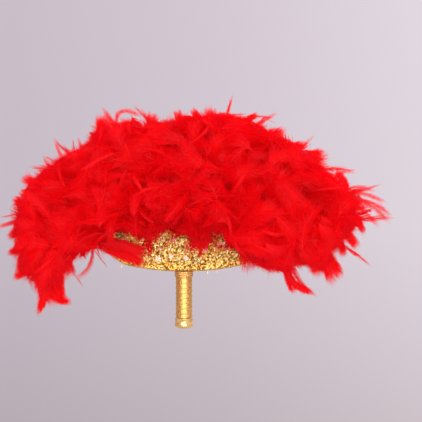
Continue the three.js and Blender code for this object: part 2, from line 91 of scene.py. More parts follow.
# How far the feathers reach from their centre, as shares of FEATHER_REACH in even steps
REACH_STEP = 15
OUTER_START = -30
OUTER_REACH = np.array([
    0.74, 0.88, 1.02, 0.94, 0.82, 0.74, 0.71, 0.64, 0.63,
    0.63, 0.70, 0.76, 0.82, 0.89, 0.96, 0.96, 0.86,
])
INNER_REACH = np.array([
    0.58, 0.55, 0.51, 0.48, 0.46, 0.44, 0.43, 0.44, 0.46, 0.48, 0.51, 0.55,
    0.58, 0.54, 0.38, 0.22, 0.12, 0.08, 0.07, 0.09, 0.20, 0.22, 0.38, 0.54,
])

# Rows of bunches from a start to an end angle, on the front, side -1, or the back. Their roots
# are the CAD's, as shares of the board: width, height, lift and spread of angles. Reach and
# crown are the CAD's or near them, to suit curled feathers. Fall is how far in mm feathers
# fill the depth below, feathers is how many a bunch has, and spread is where their quills
# start, as shares of the way from root to reach.
Row = namedtuple("Row", "side bunches start end inner root reach crown fall feathers spread")
ROWS = {
    "front_rim_bunch": Row(
        -1, 6, -30, 210, False, (0.87, 0.77, 0.09, 0.86), 1, 0.34, 26, 90, (0.05, 0.62)),
    "front_middle_bunch": Row(
        -1, 6, -27, 207, False, (0.6, 0.52, 0.15, 0.86), 0.94, 0.88, 8, 104, (0.08, 0.7)),
    "front_inner_bunch": Row(
        -1, 6, -60, 300, True, (0.3, 0.18, 0.3, 1), 1.06, 1.12, 6, 98, (0.08, 0.76)),
    "front_crown_bunch": Row(
        -1, 1, -15, 195, True, (0.08, 0.06, 0.24, 1), 0.56, 1.16, 6, 170, (0.1, 0.8)),
    "back_rim_bunch": Row(
        1, 6, -28, 208, False, (0.85, 0.76, 0.09, 0.86), 0.97, 0.54, 32, 90, (0.05, 0.64)),
    "back_inner_bunch": Row(
        1, 5, -54, 306, True, (0.4, 0.26, 0.25, 1), 1.25, 1.24, 6, 96, (-0.35, 0.78)),
}

# Edge plumes: quill angle on the rim, tip angle, reach, bend and width. They are the CAD's,
# but the first one's bend follows the photo.
PLUMES = [
    (0, -28, 1.06, 0.14, 0.8), (9, -12, 1.16, -0.1, 0.6), (18, 2, 1.12, 0.06, 1.1),
    (28, 11.5, 1.13, 0.08, 0.8), (38, 18.5, 1.06, -0.12, 0.7), (50, 34, 1.05, 0.12, 0.9),
    (62, 51, 1.08, -0.18, 0.8), (76, 69.5, 1.13, 0.05, 0.6), (104, 112, 1.05, 0.2, 0.8),
    (118, 125, 1.07, 0.04, 0.9), (134, 147, 1.04, -0.08, 0.8), (148, 159, 1.03, 0.1, 0.9),
    (163, 180, 1.06, 0.04, 0.7), (178, 209, 1.06, 0.12, 0.8),
]
# How far along its length a plume's two bends lie
PLUME_BENDS = (0.3, 0.68)

# Middles of the bead clusters, as shares of the board's half width and height
CLUSTER_PLACES = [
    (-0.315, 0.12), (-0.158, 0.147), (0.025, 0.128), (0.268, 0.216),
    (0.493, 0.269), (-0.115, 0.333), (-0.538, 0.208), (-0.773, 0.317),
]

# The camera, level and at the photograph's distance: one pixel is 4/3 mm at the board.
PIXELS = 422
PIXEL_MM = 4 / 3
CAMERA_X = 36
CAMERA_Z = 114.8
CAMERA_DISTANCE = 1600
SENSOR_WIDTH = 36

# Where the lace shows between the feathers, in pixels of the view
LACE_WINDOWS = [
    [(140, 242), (151, 242), (159, 236), (166, 228), (171, 229), (176, 235), (188, 238),
     (194, 247), (200, 257), (203, 253), (206, 241), (209, 236), (215, 234), (221, 237),
     (224, 242), (231, 248), (240, 255), (247, 262), (246, 300), (140, 300)],
    [(117, 237), (124, 232), (133, 236), (135, 241), (118, 242)],
    [(108, 252), (127, 258), (128, 300), (100, 300)],
]

# The feathers' outline in the view, in pixels
OUTLINE = [
    (8, 222), (11, 207), (17, 193), (26, 180), (38, 168), (50, 158), (60, 152), (72, 149),
    (86, 144), (88, 128), (93, 119), (103, 117), (112, 119), (126, 114), (140, 121), (155, 118),
    (168, 119), (176, 115), (185, 112), (205, 111), (225, 112), (243, 114), (256, 118),
    (268, 126), (284, 131), (292, 141), (306, 144), (321, 150), (326, 162), (334, 174),
    (350, 180), (362, 190), (372, 203), (374, 214), (364, 222), (357, 234), (352, 243),
    (341, 250), (335, 262), (337, 275), (326, 276), (312, 267), (300, 266), (293, 276),
    (283, 274), (268, 272), (252, 266), (246, 260), (184, 262), (120, 258), (104, 251),
    (90, 256), (78, 262), (66, 279), (64, 295), (50, 297), (42, 300), (35, 288), (20, 276),
    (12, 262), (12, 240),
]

# Feathers placed one by one, where the outline and the drapes over the lace show them: root
# in pixels, sideways bend as a share of the length, tip and width in pixels, depth in mm.
SINGLES = [
    (26, 217, 0.05, 0, 227, 6, -20), (22, 212, 0.05, 2, 217, 3, -30),
    (38, 214, 0.2, 17, 200, 11, -26), (36, 226, -0.2, 11, 236, 10, -18),
    (52, 196, -0.2, 27, 181, 12, -30), (46, 186, 0.3, 29, 176, 8, -22),
    (68, 174, 0.35, 45, 159, 7, -26), (60, 170, -0.2, 46, 157, 3, -20),
    (71, 164, 0.2, 56, 143, 6, -30), (75, 158, 0.0, 73, 141, 3, -24),
    (88, 156, 0.2, 79, 140, 5, -28), (102, 144, 0.0, 99, 122, 11, -30),
    (110, 134, 0.0, 108, 116, 5, -24), (106, 140, 0.0, 103, 121, 15, -28),
    (117, 131, 1.0, 139, 115, 7, -26), (152, 133, 0.0, 151, 119, 14, -26),
    (186, 129, 0.2, 178, 115, 12, -26), (199, 126, -0.2, 194, 112, 10, -22),
    (214, 128, 0.1, 211, 113, 13, -28), (226, 124, 0.05, 231, 102, 4, -24),
    (199, 121, 0.06, 246, 114, 3, -44), (238, 128, 0.1, 254, 117, 9, -30),
    (247, 116, 0.05, 272, 118, 3.5, -26), (262, 117, 0.0, 275, 123, 1, -26),
    (257, 141, 0.1, 281, 132, 12, -30), (277, 154, 0.1, 302, 145, 12, -26),
    (293, 169, 0.0, 320, 157, 16, -30), (297, 166, 0.15, 318, 152, 11, -22),
    (304, 171, 0.2, 326, 166, 8, -22), (347, 191, -0.3, 336, 173, 9, -34),
    (333, 178, 0.2, 352, 171, 6, -28), (346, 190, 0.25, 370, 190, 7, -22),
    (348, 193, 0.15, 382, 201, 7, -28), (350, 197, 0.18, 387, 220, 8, -34),
    (352, 205, 0.14, 376, 224, 7, -26), (356, 200, 0.2, 389, 214, 6, -20),
    (346, 213, 0.15, 363, 231, 9, -30), (338, 224, 0.0, 354, 244, 13, -24),
    (336, 236, 0.1, 344, 252, 10, -22), (314, 246, 0.1, 331, 276, 19, -26),
    (306, 250, 0.0, 316, 270, 15, -22), (322, 250, 0.1, 337, 272, 12, -24),
    (330, 260, 0.3, 311, 271, 5, -20), (287, 256, -0.42, 311, 292, 10, -26),
    (286, 262, -0.1, 292, 289, 10, -20), (240, 244, -0.05, 272, 263, 15, -22),
    (246, 250, -0.08, 285, 269, 14, -26), (50, 280, -0.45, 67, 302, 10, -24),
    (50, 270, 0.05, 39, 310, 11, -28), (40, 266, 0.0, 45, 299, 15, -24),
    (58, 266, 0.0, 61, 297, 14, -26), (49, 260, 0.0, 53, 298, 16, -20),
    (32, 268, 0.15, 37, 289, 8, -26), (56, 250, 0.02, 84, 288, 2, -30),
    (92, 248, 0.3, 80, 276, 8, -22), (86, 240, 0.02, 107, 267, 2, -16),
    (26, 240, 0.2, 11, 252, 9, -26), (27, 246, 0.0, 21, 274, 13, -24),
    (34, 250, 0.0, 30, 277, 13, -20), (60, 250, 0.0, 71, 270, 13, -22),
    (29, 262, 0.2, 17, 276, 9, -22), (90, 239, 0.1, 127, 250, 15, -26),
    (100, 244, 0.1, 141, 252, 14, -32), (102, 250, 0.08, 139, 261, 14, -28),
    (108, 219, -0.05, 155, 236, 16, -26), (118, 224, -0.1, 166, 229, 12, -26),
    (182, 231, 0.05, 158, 250, 1.8, -13), (189, 224, 0.05, 198, 245, 13, -24),
    (208, 226, 0.0, 204, 247, 12, -28), (198, 228, 0.0, 201, 256, 8, -22),
    (224, 224, 0.0, 234, 246, 13, -16), (238, 224, 0.0, 249, 260, 20, -19),
]
# Singles wider than the first width are laid three deep, and those under the second are thin.
WIDE_SINGLE = 8
THIN_SINGLE = 4

# How deep the feathers are at the middle, how much slimmer at the rim, how far in from the
# outline they are rooted and the least share of their barbs that ends inside it
FRONT_LIMIT = -117
BACK_LIMIT = 86
RIM_SLIMNESS = 0.62
ROOT_ROOM = 1.1
LEAST_INSIDE = 0.9

# How feathers lie: degrees of turn from the row's way, for a calm share of them and for the
# rest, tilt and roll in degrees, the most droop, and curl, sway and twist in radians
CALM_SHARE = 0.4
CALM_TURN = 38
FREE_TURN = 90
TILT = (14, 16)
ROLL = 20
MOST_DROOP = 0.4
CURL = (-0.7, 0.8)
SWAY = 0.8
TWIST = 0.4
# How far feathers lift over their row, how short they may get, and the share of the rim's
# feathers that is pushed out to within a gap of the outline
MOST_LIFT = 9
LEAST_LENGTH = 26
EDGE_SHARE = 0.5
EDGE_GAP = 14
THREAD_RADIUS = 0.3

# One barb: stations as shares of its length, and widths there as shares of its room
BARB_STATIONS = np.array([0, 0.4, 0.75, 1.0])
BARB_WIDTHS = np.array([0.62, 0.5, 0.28, 0])
BARB_CORNERS = [0, 0, 1, 1, 2, 2, 3]
BARB_TONE = 0.006
# Where the vane's half width is given, and where it starts to close
VANE_PLACES = [0, 0.1, 0.25, 0.5, 0.75, 0.9, 1]
VANE_CLOSING = 0.84
# A quill's route runs on past the tip, for barbs that reach further. Its radii at root and
# tip are shares of its length, and its stretch of U lies past that of the barbs.
QUILL_SPAN = 1.35
QUILL_END = 0.97
QUILL_RADII = [0.009, 0.0025]
QUILL_U = (0.962, 0.995)
QUILL_STATIONS = 8
THREE_SIDES = np.radians([90, 210, 330])

# The sequins' field, spacing and heights over the cover, then radius, hole and dish of a cup
# and of an open ring, and the draws that pick a cup or a ring drawn out narrow
SEQUIN_SPAN = 104
SEQUIN_RISE = 66
SEQUIN_ROW = 1.65
SEQUIN_STEP = 2.0
SEQUIN_SCATTER = 0.8
SEQUIN_INSET = 3.2
SEQUIN_HEIGHTS = (0.7, 2.1)
CUP_SEQUIN = (1.35, 0.3, 0.3)
OPEN_RING = (1.5, 0.85, 0.1)
CUP_SHARE = 0.7
NARROW_SHARE = 0.86
NARROW_SHAPE = [0.42, 1, 1.5]

# The plaited edge: a bead's length and radius, rows of beads over the braid, a row under it,
# where the handle leaves no room for it, and the beads that hang from the edge, as shares
# of the board's half width
EDGE_BEAD = (3.1, 0.72)
EDGE_INSETS = (0.9, 2.3, 3.7, 5.1, 6.4)
EDGE_STEP = 1.7
EDGE_HEIGHT = COVER_FACE + 1.9
UNDER_INSET = -1.5
UNDER_STEP = 1.9
UNDER_SHAPE = [0.6, 2.6, 1]
HANDLE_ROOM = 9
HANGING_BEADS = (-0.78, 0.293, 0.41, 0.76)
HANGING_DROP = 2.6

# A crystal: radius and height of its rings and the height of its point, as shares of its size
CRYSTAL_RINGS = ((1.0, 0.0), (1.05, 0.5), (0.62, 1.15))
CRYSTAL_POINT = 1.2
# A cluster's petals and its middle: size, distance from the middle and lift off the lace
PETALS = 6
PETAL = (1.2, 2.35, 0.5)
MIDDLE = (1.35, 0, 1.4)

# The studio, in metres and watts: each light's place, size and power
FLOOR_RADIUS = 0.9
FLOOR_HEIGHT = -0.34
LIGHT_AIM = (0.02, 0, 0.12)
LIGHTS = {
    "key": ((-0.35, -2.3, 0.75), 2.2, 27),
    "fill": ((0.5, -2.35, 0.02), 2.0, 31),
    "rim": ((0.3, 1.6, 1.5), 1.0, 12),
}
GLOW_STRENGTH = 1.08
SHOWN_STRENGTH = 1.07


# Helpers

def from_pixels(x, y, depth):
    """The point at a depth that lands on a pixel of the view."""
    scale = PIXEL_MM * (CAMERA_DISTANCE + depth) / CAMERA_DISTANCE
    return np.array([CAMERA_X + (x - PIXELS / 2) * scale, depth, CAMERA_Z - (y - PIXELS / 2) * scale])


def to_pixels(points):
    """Where points land in the camera's view, in pixels from its upper left corner."""
    scale = CAMERA_DISTANCE / PIXEL_MM / (CAMERA_DISTANCE + points[..., 1])
    x = PIXELS / 2 + (points[..., 0] - CAMERA_X) * scale
    y = PIXELS / 2 - (points[..., 2] - CAMERA_Z) * scale
    return stacked(x, y)


def unit(v):
    v = np.asarray(v, float)
    return v / np.maximum(np.linalg.norm(v, axis=-1, keepdims=True), 1e-9)


def table_share(shares, position):
    """The share at a position between the steps of a table that goes round."""
    low = np.floor(position).astype(int)
    part = position - low
    count = len(shares)
    return shares[low % count] * (1 - part) + shares[(low + 1) % count] * part


def curve(t, *points):
    """A smooth curve from the first point to the last, drawn towards those between."""
    last = len(points) - 1
    return sum(math.comb(last, k) * (1 - t) ** (last - k) * t ** k * point
               for k, point in enumerate(points))


def stacked(*parts):
    """Points from their coordinates, or UVs from U and V, of any shapes that fit."""
    return np.stack(np.broadcast_arrays(*parts), -1)


def circle(sides):
    return np.linspace(0, 2 * math.pi, sides, endpoint=False)


def ring_faces(rings, sides):
    """The quads between closed rings of points."""
    index = np.arange(rings * sides).reshape(rings, sides)
    ahead = np.roll(index, -1, axis=1)
    return stacked(index[:-1], ahead[:-1], ahead[1:], index[1:]).reshape(-1, 4)


def rings_of(profile, sides):
    """Rings of points round the Y axis, one for each radius and y, and their faces."""
    radius, y = np.array(profile, float).T[..., None]
    angles = circle(sides)
    points = stacked(radius * np.cos(angles), y, radius * np.sin(angles))
    return points.reshape(-1, 3), ring_faces(len(profile), sides)


def spun(points, angle, first=0, second=2):
    """Points turned from one axis towards another."""
    made = points.copy()
    made[:, first] = points[:, first] * math.cos(angle) - points[:, second] * math.sin(angle)
    made[:, second] = points[:, first] * math.sin(angle) + points[:, second] * math.cos(angle)
    return made


def turned(points, tilt, spin):
    """Points spun in the board's plane, then tilted out of it both ways."""
    return spun(spun(spun(points, spin), tilt[0], 1, 2), tilt[1], 0, 1)


def uv_patch(centre, size, angles):
    """A small round patch of the UV map, so that each bead takes one tone from its material's ramp; the
    ramps hold painted glints, highlights and shade.
    """
    return centre + size * stacked(np.cos(angles), np.sin(angles))


def inside(polygon, points):
    """Whether each 2-D point lies in the polygon."""
    result = np.zeros(len(points), bool)
    corners = np.array(polygon, float)
    for a, b in zip(corners, np.roll(corners, -1, axis=0)):
        spans = (a[1] > points[:, 1]) != (b[1] > points[:, 1])
        rise = b[1] - a[1] if b[1] != a[1] else 1e-9
        cross = a[0] + (points[:, 1] - a[1]) * (b[0] - a[0]) / rise
        result ^= spans & (points[:, 0] < cross)
    return result


def outline_reaches():
    """How far the outline lies from the feathers' centre, in mm, at each degree."""
    corners = np.array([from_pixels(x, y, 0)[[0, 2]] for x, y in OUTLINE]) - [0, FEATHER_CENTRE]
    run_x, run_z = (np.roll(corners, -1, axis=0) - corners).T
    x, z = corners.T
    degrees = np.radians(np.arange(360))[:, None]
    bottom = np.cos(degrees) * run_z - np.sin(degrees) * run_x
    bottom[np.abs(bottom) < 1e-9] = np.inf
    along = (x * np.sin(degrees) - z * np.cos(degrees)) / bottom
    distance = (x * run_z - z * run_x) / bottom
    return np.where((along >= 0) & (along <= 1), distance, 0).max(axis=1)


REACHES = outline_reaches()


def edge_reach(x, z):
    """How far the outline lies from the feathers' centre in the directions of points."""
    return REACHES[np.round(np.degrees(np.arctan2(z, x))).astype(int) % 360]


def add_object(name, data):
    made = bpy.data.objects.new(name, data)
    bpy.context.scene.collection.objects.link(made)
    return made


class Batch:
    """Gathers vertices, faces and UVs of many small forms into one mesh."""

    def __init__(self):
        self.points, self.uvs, self.quads, self.tris, self.count = [], [], [], [], 0

    def add(self, points, uvs, quads, tris=np.zeros((0, 3), int)):
        self.points.append(points)
        self.uvs.append(uvs)
        self.quads.append(quads + self.count)
        self.tris.append(tris + self.count)
        self.count += len(points)

    def build(self, name, material, replaces=(), smooth=True):
        points = np.concatenate(self.points) * MM
        uvs, quads, tris = (np.concatenate(parts) for parts in (self.uvs, self.quads, self.tris))
        corners = np.concatenate([quads.ravel(), tris.ravel()]).astype(np.int32)
        totals = np.concatenate([np.full(len(quads), 4), np.full(len(tris), 3)]).astype(np.int32)
        starts = np.concatenate([[0], np.cumsum(totals)[:-1]]).astype(np.int32)
        mesh = bpy.data.meshes.new(name)
        mesh.vertices.add(len(points))
        mesh.vertices.foreach_set("co", points.astype(np.float32).ravel())
        mesh.loops.add(len(corners))
        mesh.loops.foreach_set("vertex_index", corners)
        mesh.polygons.add(len(totals))
        mesh.polygons.foreach_set("loop_start", starts)
        layer = mesh.uv_layers.new(name="OFBake")
        layer.uv.foreach_set("vector", uvs[corners].astype(np.float32).ravel())
        mesh.polygons.foreach_set("use_smooth", np.full(len(totals), smooth))
        mesh.update(calc_edges=True)
        mesh.materials.append(material)
        piece = add_object(name, mesh)
        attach(piece, "root")
        if replaces:
            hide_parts(*replaces)
        return piece


# Materials

class Look:
    """The nodes of a material or of the world."""

    def __init__(self, name, kind="materials"):
        self.holder = getattr(bpy.data, kind).new(name)
        self.holder.use_nodes = True
        self.nodes = self.holder.node_tree.nodes
        self.links = self.holder.node_tree.links

    def put(self, socket, value):
        """Gives a socket a number, a colour or vector, or the output of another node."""
        if isinstance(value, (int, float)):
            socket.default_value = value
        elif isinstance(value, tuple):
            socket.default_value = (*value, 1)[:len(socket.default_value)]
        else:
            self.links.new(value, socket)

    def fill(self, node, **values):
        """Fills a node's sockets, named with underscores for spaces, and its properties."""
        for name, value in values.items():
            socket = node.inputs.get(name.replace("_", " "))
            if socket is None:
                setattr(node, name, value)
            else:
                self.put(socket, value)

    def add(self, kind, *first_sockets, output=0, **values):
        """Adds a node with its sockets filled, and hands back one of its outputs."""
        node = self.nodes.new(f"ShaderNode{kind}")
        for socket, value in zip(node.inputs, first_sockets):
            self.put(socket, value)
        self.fill(node, **values)
        return node.outputs[output]

    def uv_map(self):
        return self.add("UVMap", uv_map="OFBake")

    def noise(self, vector, **values):
        return self.add("TexNoise", output="Fac", Vector=vector, **values)

    def parts(self, vector):
        """X, Y and Z of a vector."""
        node = self.nodes.new("ShaderNodeSeparateXYZ")
        self.fill(node, Vector=vector)
        return node.outputs

    def ramp(self, source, *stops):
        node = self.nodes.new("ShaderNodeValToRGB")
        elements = node.color_ramp.elements
        while len(elements) < len(stops):
            elements.new(0.5)
        for element, (position, colour) in zip(elements, stops):
            element.position = position
            element.color = (*colour, 1)
        self.fill(node, Fac=source)
        return node.outputs["Color"]

    def grey(self, source, low, high, start=0.3, end=0.7):
        """A ramp from one grey to another."""
        return self.ramp(source, (start, (low,) * 3), (end, (high,) * 3))

    def mixed(self, factor, a, b, blend="MIX"):
        node = self.nodes.new("ShaderNodeMix")
        self.fill(node, data_type="RGBA", blend_type=blend)
        for value, socket in ((factor, 0), (a, 6), (b, 7)):
            self.put(node.inputs[socket], value)
        return node.outputs[2]

    def multiplied(self, a, b):
        return self.mixed(1.0, a, b, "MULTIPLY")

    def shade(self, **values):
        """Fills sockets of the material's shader and hands the material back."""
        self.fill(self.nodes["Principled BSDF"], **values)
        return self.holder


def feather_material():
    """Dyed feather. U runs from quill to barb tip, with the quill itself past 0.95, and V
    holds each feather's own tone, so the colour depends on the UV map alone."""
    look = Look("dyed_feather")
    uv = look.uv_map()
    share, drawn_tone, _ = look.parts(uv)
    tone = look.ramp(drawn_tone, (0.0, (0.97, 0.0015, 0.008)), (0.5, (0.99, 0.003, 0.014)),
                     (0.85, (1.0, 0.009, 0.028)), (1.0, (1.0, 0.1, 0.13)))
    # Barbs grow darker towards the quill: partly the dye's deeper red there, partly painted shade of
    # the feather's hollows.
    along = look.ramp(share, (0.0, (0.98, 0.7, 0.7)), (0.45, (1, 1, 1)))
    quill = look.ramp(share, (0.945, (0, 0, 0)), (0.955, (1, 1, 1)))
    streak = look.noise(uv, Scale=70, Detail=3, Roughness=0.6)
    shade = look.ramp(streak, (0.3, (0.98, 0.85, 0.85)), (0.7, (1, 1, 1)))
    vane = look.multiplied(look.multiplied(tone, along), shade)
    colour = look.mixed(quill, vane, (1.0, 0.06, 0.08))
    front = look.nodes["Principled BSDF"].outputs[0]
    both = look.add("MixShader", 0.8, front, look.add("BsdfTranslucent", Color=colour))
    look.fill(look.nodes["Material Output"], Surface=both)
    return look.shade(
        Base_Color=colour, Roughness=look.grey(streak, 0.5, 0.66), Specular_IOR_Level=0.28,
        Sheen_Weight=0.35, Sheen_Roughness=0.4, Sheen_Tint=(1, 0.06, 0.11))


def foil_material(name, *tones_glints_and_shade):
    """Gold foil on sequins and beads. V of the UV map picks each one's tone at random from the ramp,
    whose darkest stops are painted shade and whose palest stops are painted glints.
    """
    look = Look(name)
    across, drawn_tone, _ = look.parts(look.uv_map())
    return look.shade(Base_Color=look.ramp(drawn_tone, *tones_glints_and_shade), Metallic=0.3, Specular_IOR_Level=0.08,
                      Roughness=look.grey(across, 0.2, 0.32, 0.2, 0.8))


def gold_material(name, low, high, roughness, scale):
    """Gold thread, satin and plating whose tone wanders over the UV map."""
    look = Look(name)
    noise = look.noise(look.uv_map(), Scale=scale, Detail=2)
    return look.shade(Base_Color=look.ramp(noise, (0.36, low), (0.6, high)), Metallic=0.9,
                      Roughness=look.grey(noise, roughness, roughness + 0.12),
                      Specular_IOR_Level=0.5)


def crystal_material():
    look = Look("crystal")
    noise = look.noise(look.uv_map(), Scale=9, Detail=1)
    # The stones run from a pinkish cream to near white; the two paler stops are painted highlights.
    colour = look.ramp(noise, (0.35, (0.78, 0.47, 0.42)), (0.5, (0.94, 0.76, 0.7)),
                       (0.65, (0.98, 0.93, 0.9)))
    return look.shade(Base_Color=colour, Roughness=look.grey(noise, 0.04, 0.14), IOR=1.6,
                      Specular_IOR_Level=0.8, Coat_Weight=0.6, Coat_Roughness=0.03)


def woven_material(name, low, high, roughness, scale, depth, metallic=0.0, sheen=0.0):
    """Cloth with a fine crossed weave, in the object's own coordinates."""
    look = Look(name)
    place = look.add("TexCoord", output="Object")
    threads = [look.add("TexWave", output="Fac", Vector=place, Scale=scale, Distortion=0.6,
                        bands_direction=way) for way in "XZ"]
    weave = look.mixed(0.5, *threads)
    cloud = look.noise(place, Scale=60, Detail=4)
    return look.shade(
        Base_Color=look.ramp(look.mixed(0.4, cloud, weave), (0.3, low), (0.7, high)),
        Roughness=look.grey(cloud, roughness, roughness + 0.15), Metallic=metallic,
        Sheen_Weight=sheen, Normal=look.add("Bump", Height=weave, Distance=depth, Strength=0.5))


def wood_material():
    look = Look("dowel_wood")
    place = look.add("Mapping", Vector=look.add("TexCoord", output="Object"), Scale=(1, 1, 0.08))
    grain = look.noise(place, Scale=700, Detail=5, Roughness=0.65)
    return look.shade(
        Base_Color=look.ramp(grain, (0.35, (0.36, 0.19, 0.07)), (0.65, (0.58, 0.36, 0.17))),
        Roughness=look.grey(grain, 0.5, 0.68),
        Normal=look.add("Bump", Height=grain, Distance=0.0002, Strength=0.4))


# Feathers

class Form:
    """A flat feather of unit length, x along its quill, y across and z up. Its barbs open by
    spread degrees at root and tip, curl up by cup, stray by loose and ragged, and end round or,
    with square, straight."""

    def __init__(self, seed, barbs, width, spread, cling, fill, loose, cup, ragged,
                 start=0.04, square=0.0):
        random = np.random.default_rng(seed)
        count = 2 * barbs
        side = np.repeat([1.0, -1.0], barbs)
        step = np.tile((np.arange(barbs) + 0.5) / barbs, 2)
        t = start + (1 - start) * (step + random.uniform(-0.3, 0.3, count) / barbs)
        widths = [0.4, 0.75, 1, 1, 0.9, 0.7 + 0.2 * square, 0.5 + 0.35 * square]
        profile = np.interp(t, VANE_PLACES, widths)
        # Barbs cling together in clumps, which bend as one and part from the next.
        clump = np.floor(np.cumsum(random.uniform(0.05, 0.3, count))).astype(int)
        many = clump.max() + 1
        shift = random.normal(0, 0.03 * ragged, many)[clump]
        lift = random.normal(0, 0.05 * ragged, many)[clump]
        trim = 1 - ragged * random.uniform(-0.08, 0.2, many)[clump]
        middle = np.array([t[clump == c].mean() for c in range(many)])[clump]
        opening = np.radians(np.interp(t, [0, 0.5, 1], [spread[0], sum(spread) / 2 + 4, spread[1]]))
        opening = opening + random.normal(0, 0.09, count)
        reach = width * profile * trim * random.uniform(0.74, 1.06, count)
        length = reach / np.sin(np.maximum(opening * 0.8, 0.22))
        # The vane closes to a round end: its last barbs turn to lie along the quill.
        opening = opening * np.interp(t, [VANE_CLOSING, 1], [1, 0.12 + 0.88 * square])
        stations = BARB_STATIONS[None]
        half_step = (stations[:, 1:] + stations[:, :-1]) / 2
        turn = opening[:, None] * (1 - 0.5 * half_step)
        steps = np.diff(stations) * length[:, None]
        zero = np.zeros((count, 1))
        x = t[:, None] + np.hstack([zero, np.cumsum(np.cos(turn) * steps, 1)])
        y = side[:, None] * np.hstack([zero, np.cumsum(np.sin(turn) * steps, 1)])
        x = x + cling * (middle - t)[:, None] * stations ** 1.5 + shift[:, None] * stations ** 2
        away = random.normal(0, loose, (count, 1)) * stations ** 1.5
        z = cup * y ** 2 / width + lift[:, None] * stations ** 2 * 0.6 + away
        y = y + 0.5 * away * side[:, None]
        wide = fill * (1 - start) / barbs * np.sin(opening)[:, None] * BARB_WIDTHS
        run = unit(stacked(np.gradient(x, axis=1), np.gradient(y, axis=1)))
        left = stacked(x - run[..., 1] * wide, y + run[..., 0] * wide, z)
        right = stacked(x + run[..., 1] * wide, y - run[..., 0] * wide, z)
        pairs = [edge[:, k] for k in range(3) for edge in (left, right)]
        self.points = np.stack(pairs + [left[:, 3]], 1).reshape(-1, 3)
        tone = random.normal(0, 0.05, count)[:, None]
        along = 0.02 + 0.9 * np.clip(0.45 * t[:, None] + 0.55 * stations, 0, 1)
        v = tone + BARB_TONE * np.array([1, -1, 1, -1, 1, -1, 0])
        self.uvs = stacked(along[:, BARB_CORNERS], v).reshape(-1, 2)
        first = len(BARB_CORNERS) * np.arange(count)[:, None]
        self.quads = np.concatenate([first + [0, 1, 3, 2], first + [2, 3, 5, 4]])
        self.tris = first + [4, 5, 6]
        self.tips = self.points[6::7]
        self.add_quill()

    def add_quill(self):
        stations = np.linspace(0, QUILL_END, QUILL_STATIONS)
        radius = np.interp(stations, [0, 1], QUILL_RADII)[:, None]
        tube = stacked(stations[:, None], radius * np.cos(THREE_SIDES), radius * np.sin(THREE_SIDES))
        uvs = stacked(np.linspace(*QUILL_U, QUILL_STATIONS)[:, None], [0.02, 0.0, -0.02])
        faces = len(self.points) + ring_faces(QUILL_STATIONS, 3)
        self.points = np.concatenate([self.points, tube.reshape(-1, 3)])
        self.uvs = np.concatenate([self.uvs, uvs.reshape(-1, 2)])
        self.quads = np.concatenate([self.quads, faces])


class Quill:
    """A quill's route through space, with the feather's up and across directions."""

    def __init__(self, centre, up):
        self.centre = centre
        tangent = unit(np.gradient(centre, axis=0))
        self.across = unit(np.cross(up, tangent))
        self.up = np.cross(tangent, self.across)

    @classmethod
    def curled(cls, root, ahead, up, length, curl, sway, twist):
        """A quill that curls upwards, sways sideways and twists on its way."""
        share = np.linspace(0, QUILL_SPAN, 16)
        rise = curl * share ** 1.6
        side = sway * share
        tangent = (np.outer(np.cos(rise) * np.cos(side), ahead)
                   + np.outer(np.sin(side), np.cross(up, ahead)) + np.outer(np.sin(rise), up))
        steps = unit(tangent) * length * (share[1] - share[0])
        centre = root + np.vstack([np.zeros(3), np.cumsum((steps[1:] + steps[:-1]) / 2, 0)])
        quill = cls(centre, np.outer(-np.sin(rise), ahead) + np.outer(np.cos(rise), up))
        turn = (twist * share)[:, None]
        quill.up, quill.across = (quill.up * np.cos(turn) + quill.across * np.sin(turn),
                                  quill.across * np.cos(turn) - quill.up * np.sin(turn))
        return quill

    @classmethod
    def along(cls, route, up):
        """A quill on a route, carried straight on past its tip, and the route's length."""
        end = unit(route[-1] - route[-2])
        length = np.linalg.norm(np.diff(route, axis=0), axis=1).sum()
        whole = np.vstack([route, route[-1] + end * np.linspace(0.07, 0.45, 5)[:, None] * length])
        gauge = np.concatenate([[0], np.cumsum(np.linalg.norm(np.diff(whole, axis=0), axis=1))])
        even = np.linspace(0, QUILL_SPAN * length, 20)
        return cls(stacked(*(np.interp(even, gauge, line) for line in whole.T)), up), length

    def at(self, values, share):
        place = np.clip(share / QUILL_SPAN, 0, 0.9999) * (len(values) - 1)
        low = place.astype(int)
        part = (place - low)[:, None]
        return values[low] * (1 - part) + values[low + 1] * part

    def laid(self, points, length):
        """A form's points, laid on the quill."""
        x, y, z = points.T
        return (self.at(self.centre, x) + self.at(self.across, x) * (y * length)[:, None]
                + self.at(self.up, x) * (z * length)[:, None])

    def place(self, form, length, batch, tone):
        uvs = form.uvs.copy()
        uvs[:, 1] = np.clip(uvs[:, 1] + tone, 0.01, 0.99)
        batch.add(self.laid(form.points, length), uvs, form.quads, form.tris)


def feather_kinds():
    """Broad soft vanes, fluffy ones, narrow pointed ones and squared blades: the draw up to
    which each kind is picked, its forms and its span of lengths in mm."""
    broad = [Form(100 + i, 66, 0.17 + 0.02 * (i % 4), (60, 36), cling=0.3, fill=1.15,
                  loose=0.03, cup=0.6 - 0.2 * (i % 3), ragged=0.5) for i in range(7)]
    fluffy = [Form(200 + i, 90, 0.28 + 0.03 * (i % 4), (86, 50), cling=0.2, fill=0.85,
                   loose=0.1, cup=0.2, ragged=1.2) for i in range(9)]
    narrow = [Form(300 + i, 30, 0.05 + 0.012 * (i % 3), (26, 10), cling=0.3, fill=1.4,
                   loose=0.006, cup=0.6, ragged=0.5) for i in range(4)]
    blade = [Form(400 + i, 30, 0.06, (30, 20), cling=0.3, fill=1.5, loose=0.004, cup=0.3,
                  ragged=0.4, start=0.2, square=1.0) for i in range(3)]
    return ((0.36, broad, (42, 70)), (0.94, fluffy, (40, 62)), (0.98, narrow, (40, 70)),
            (1, blade, (40, 60)))


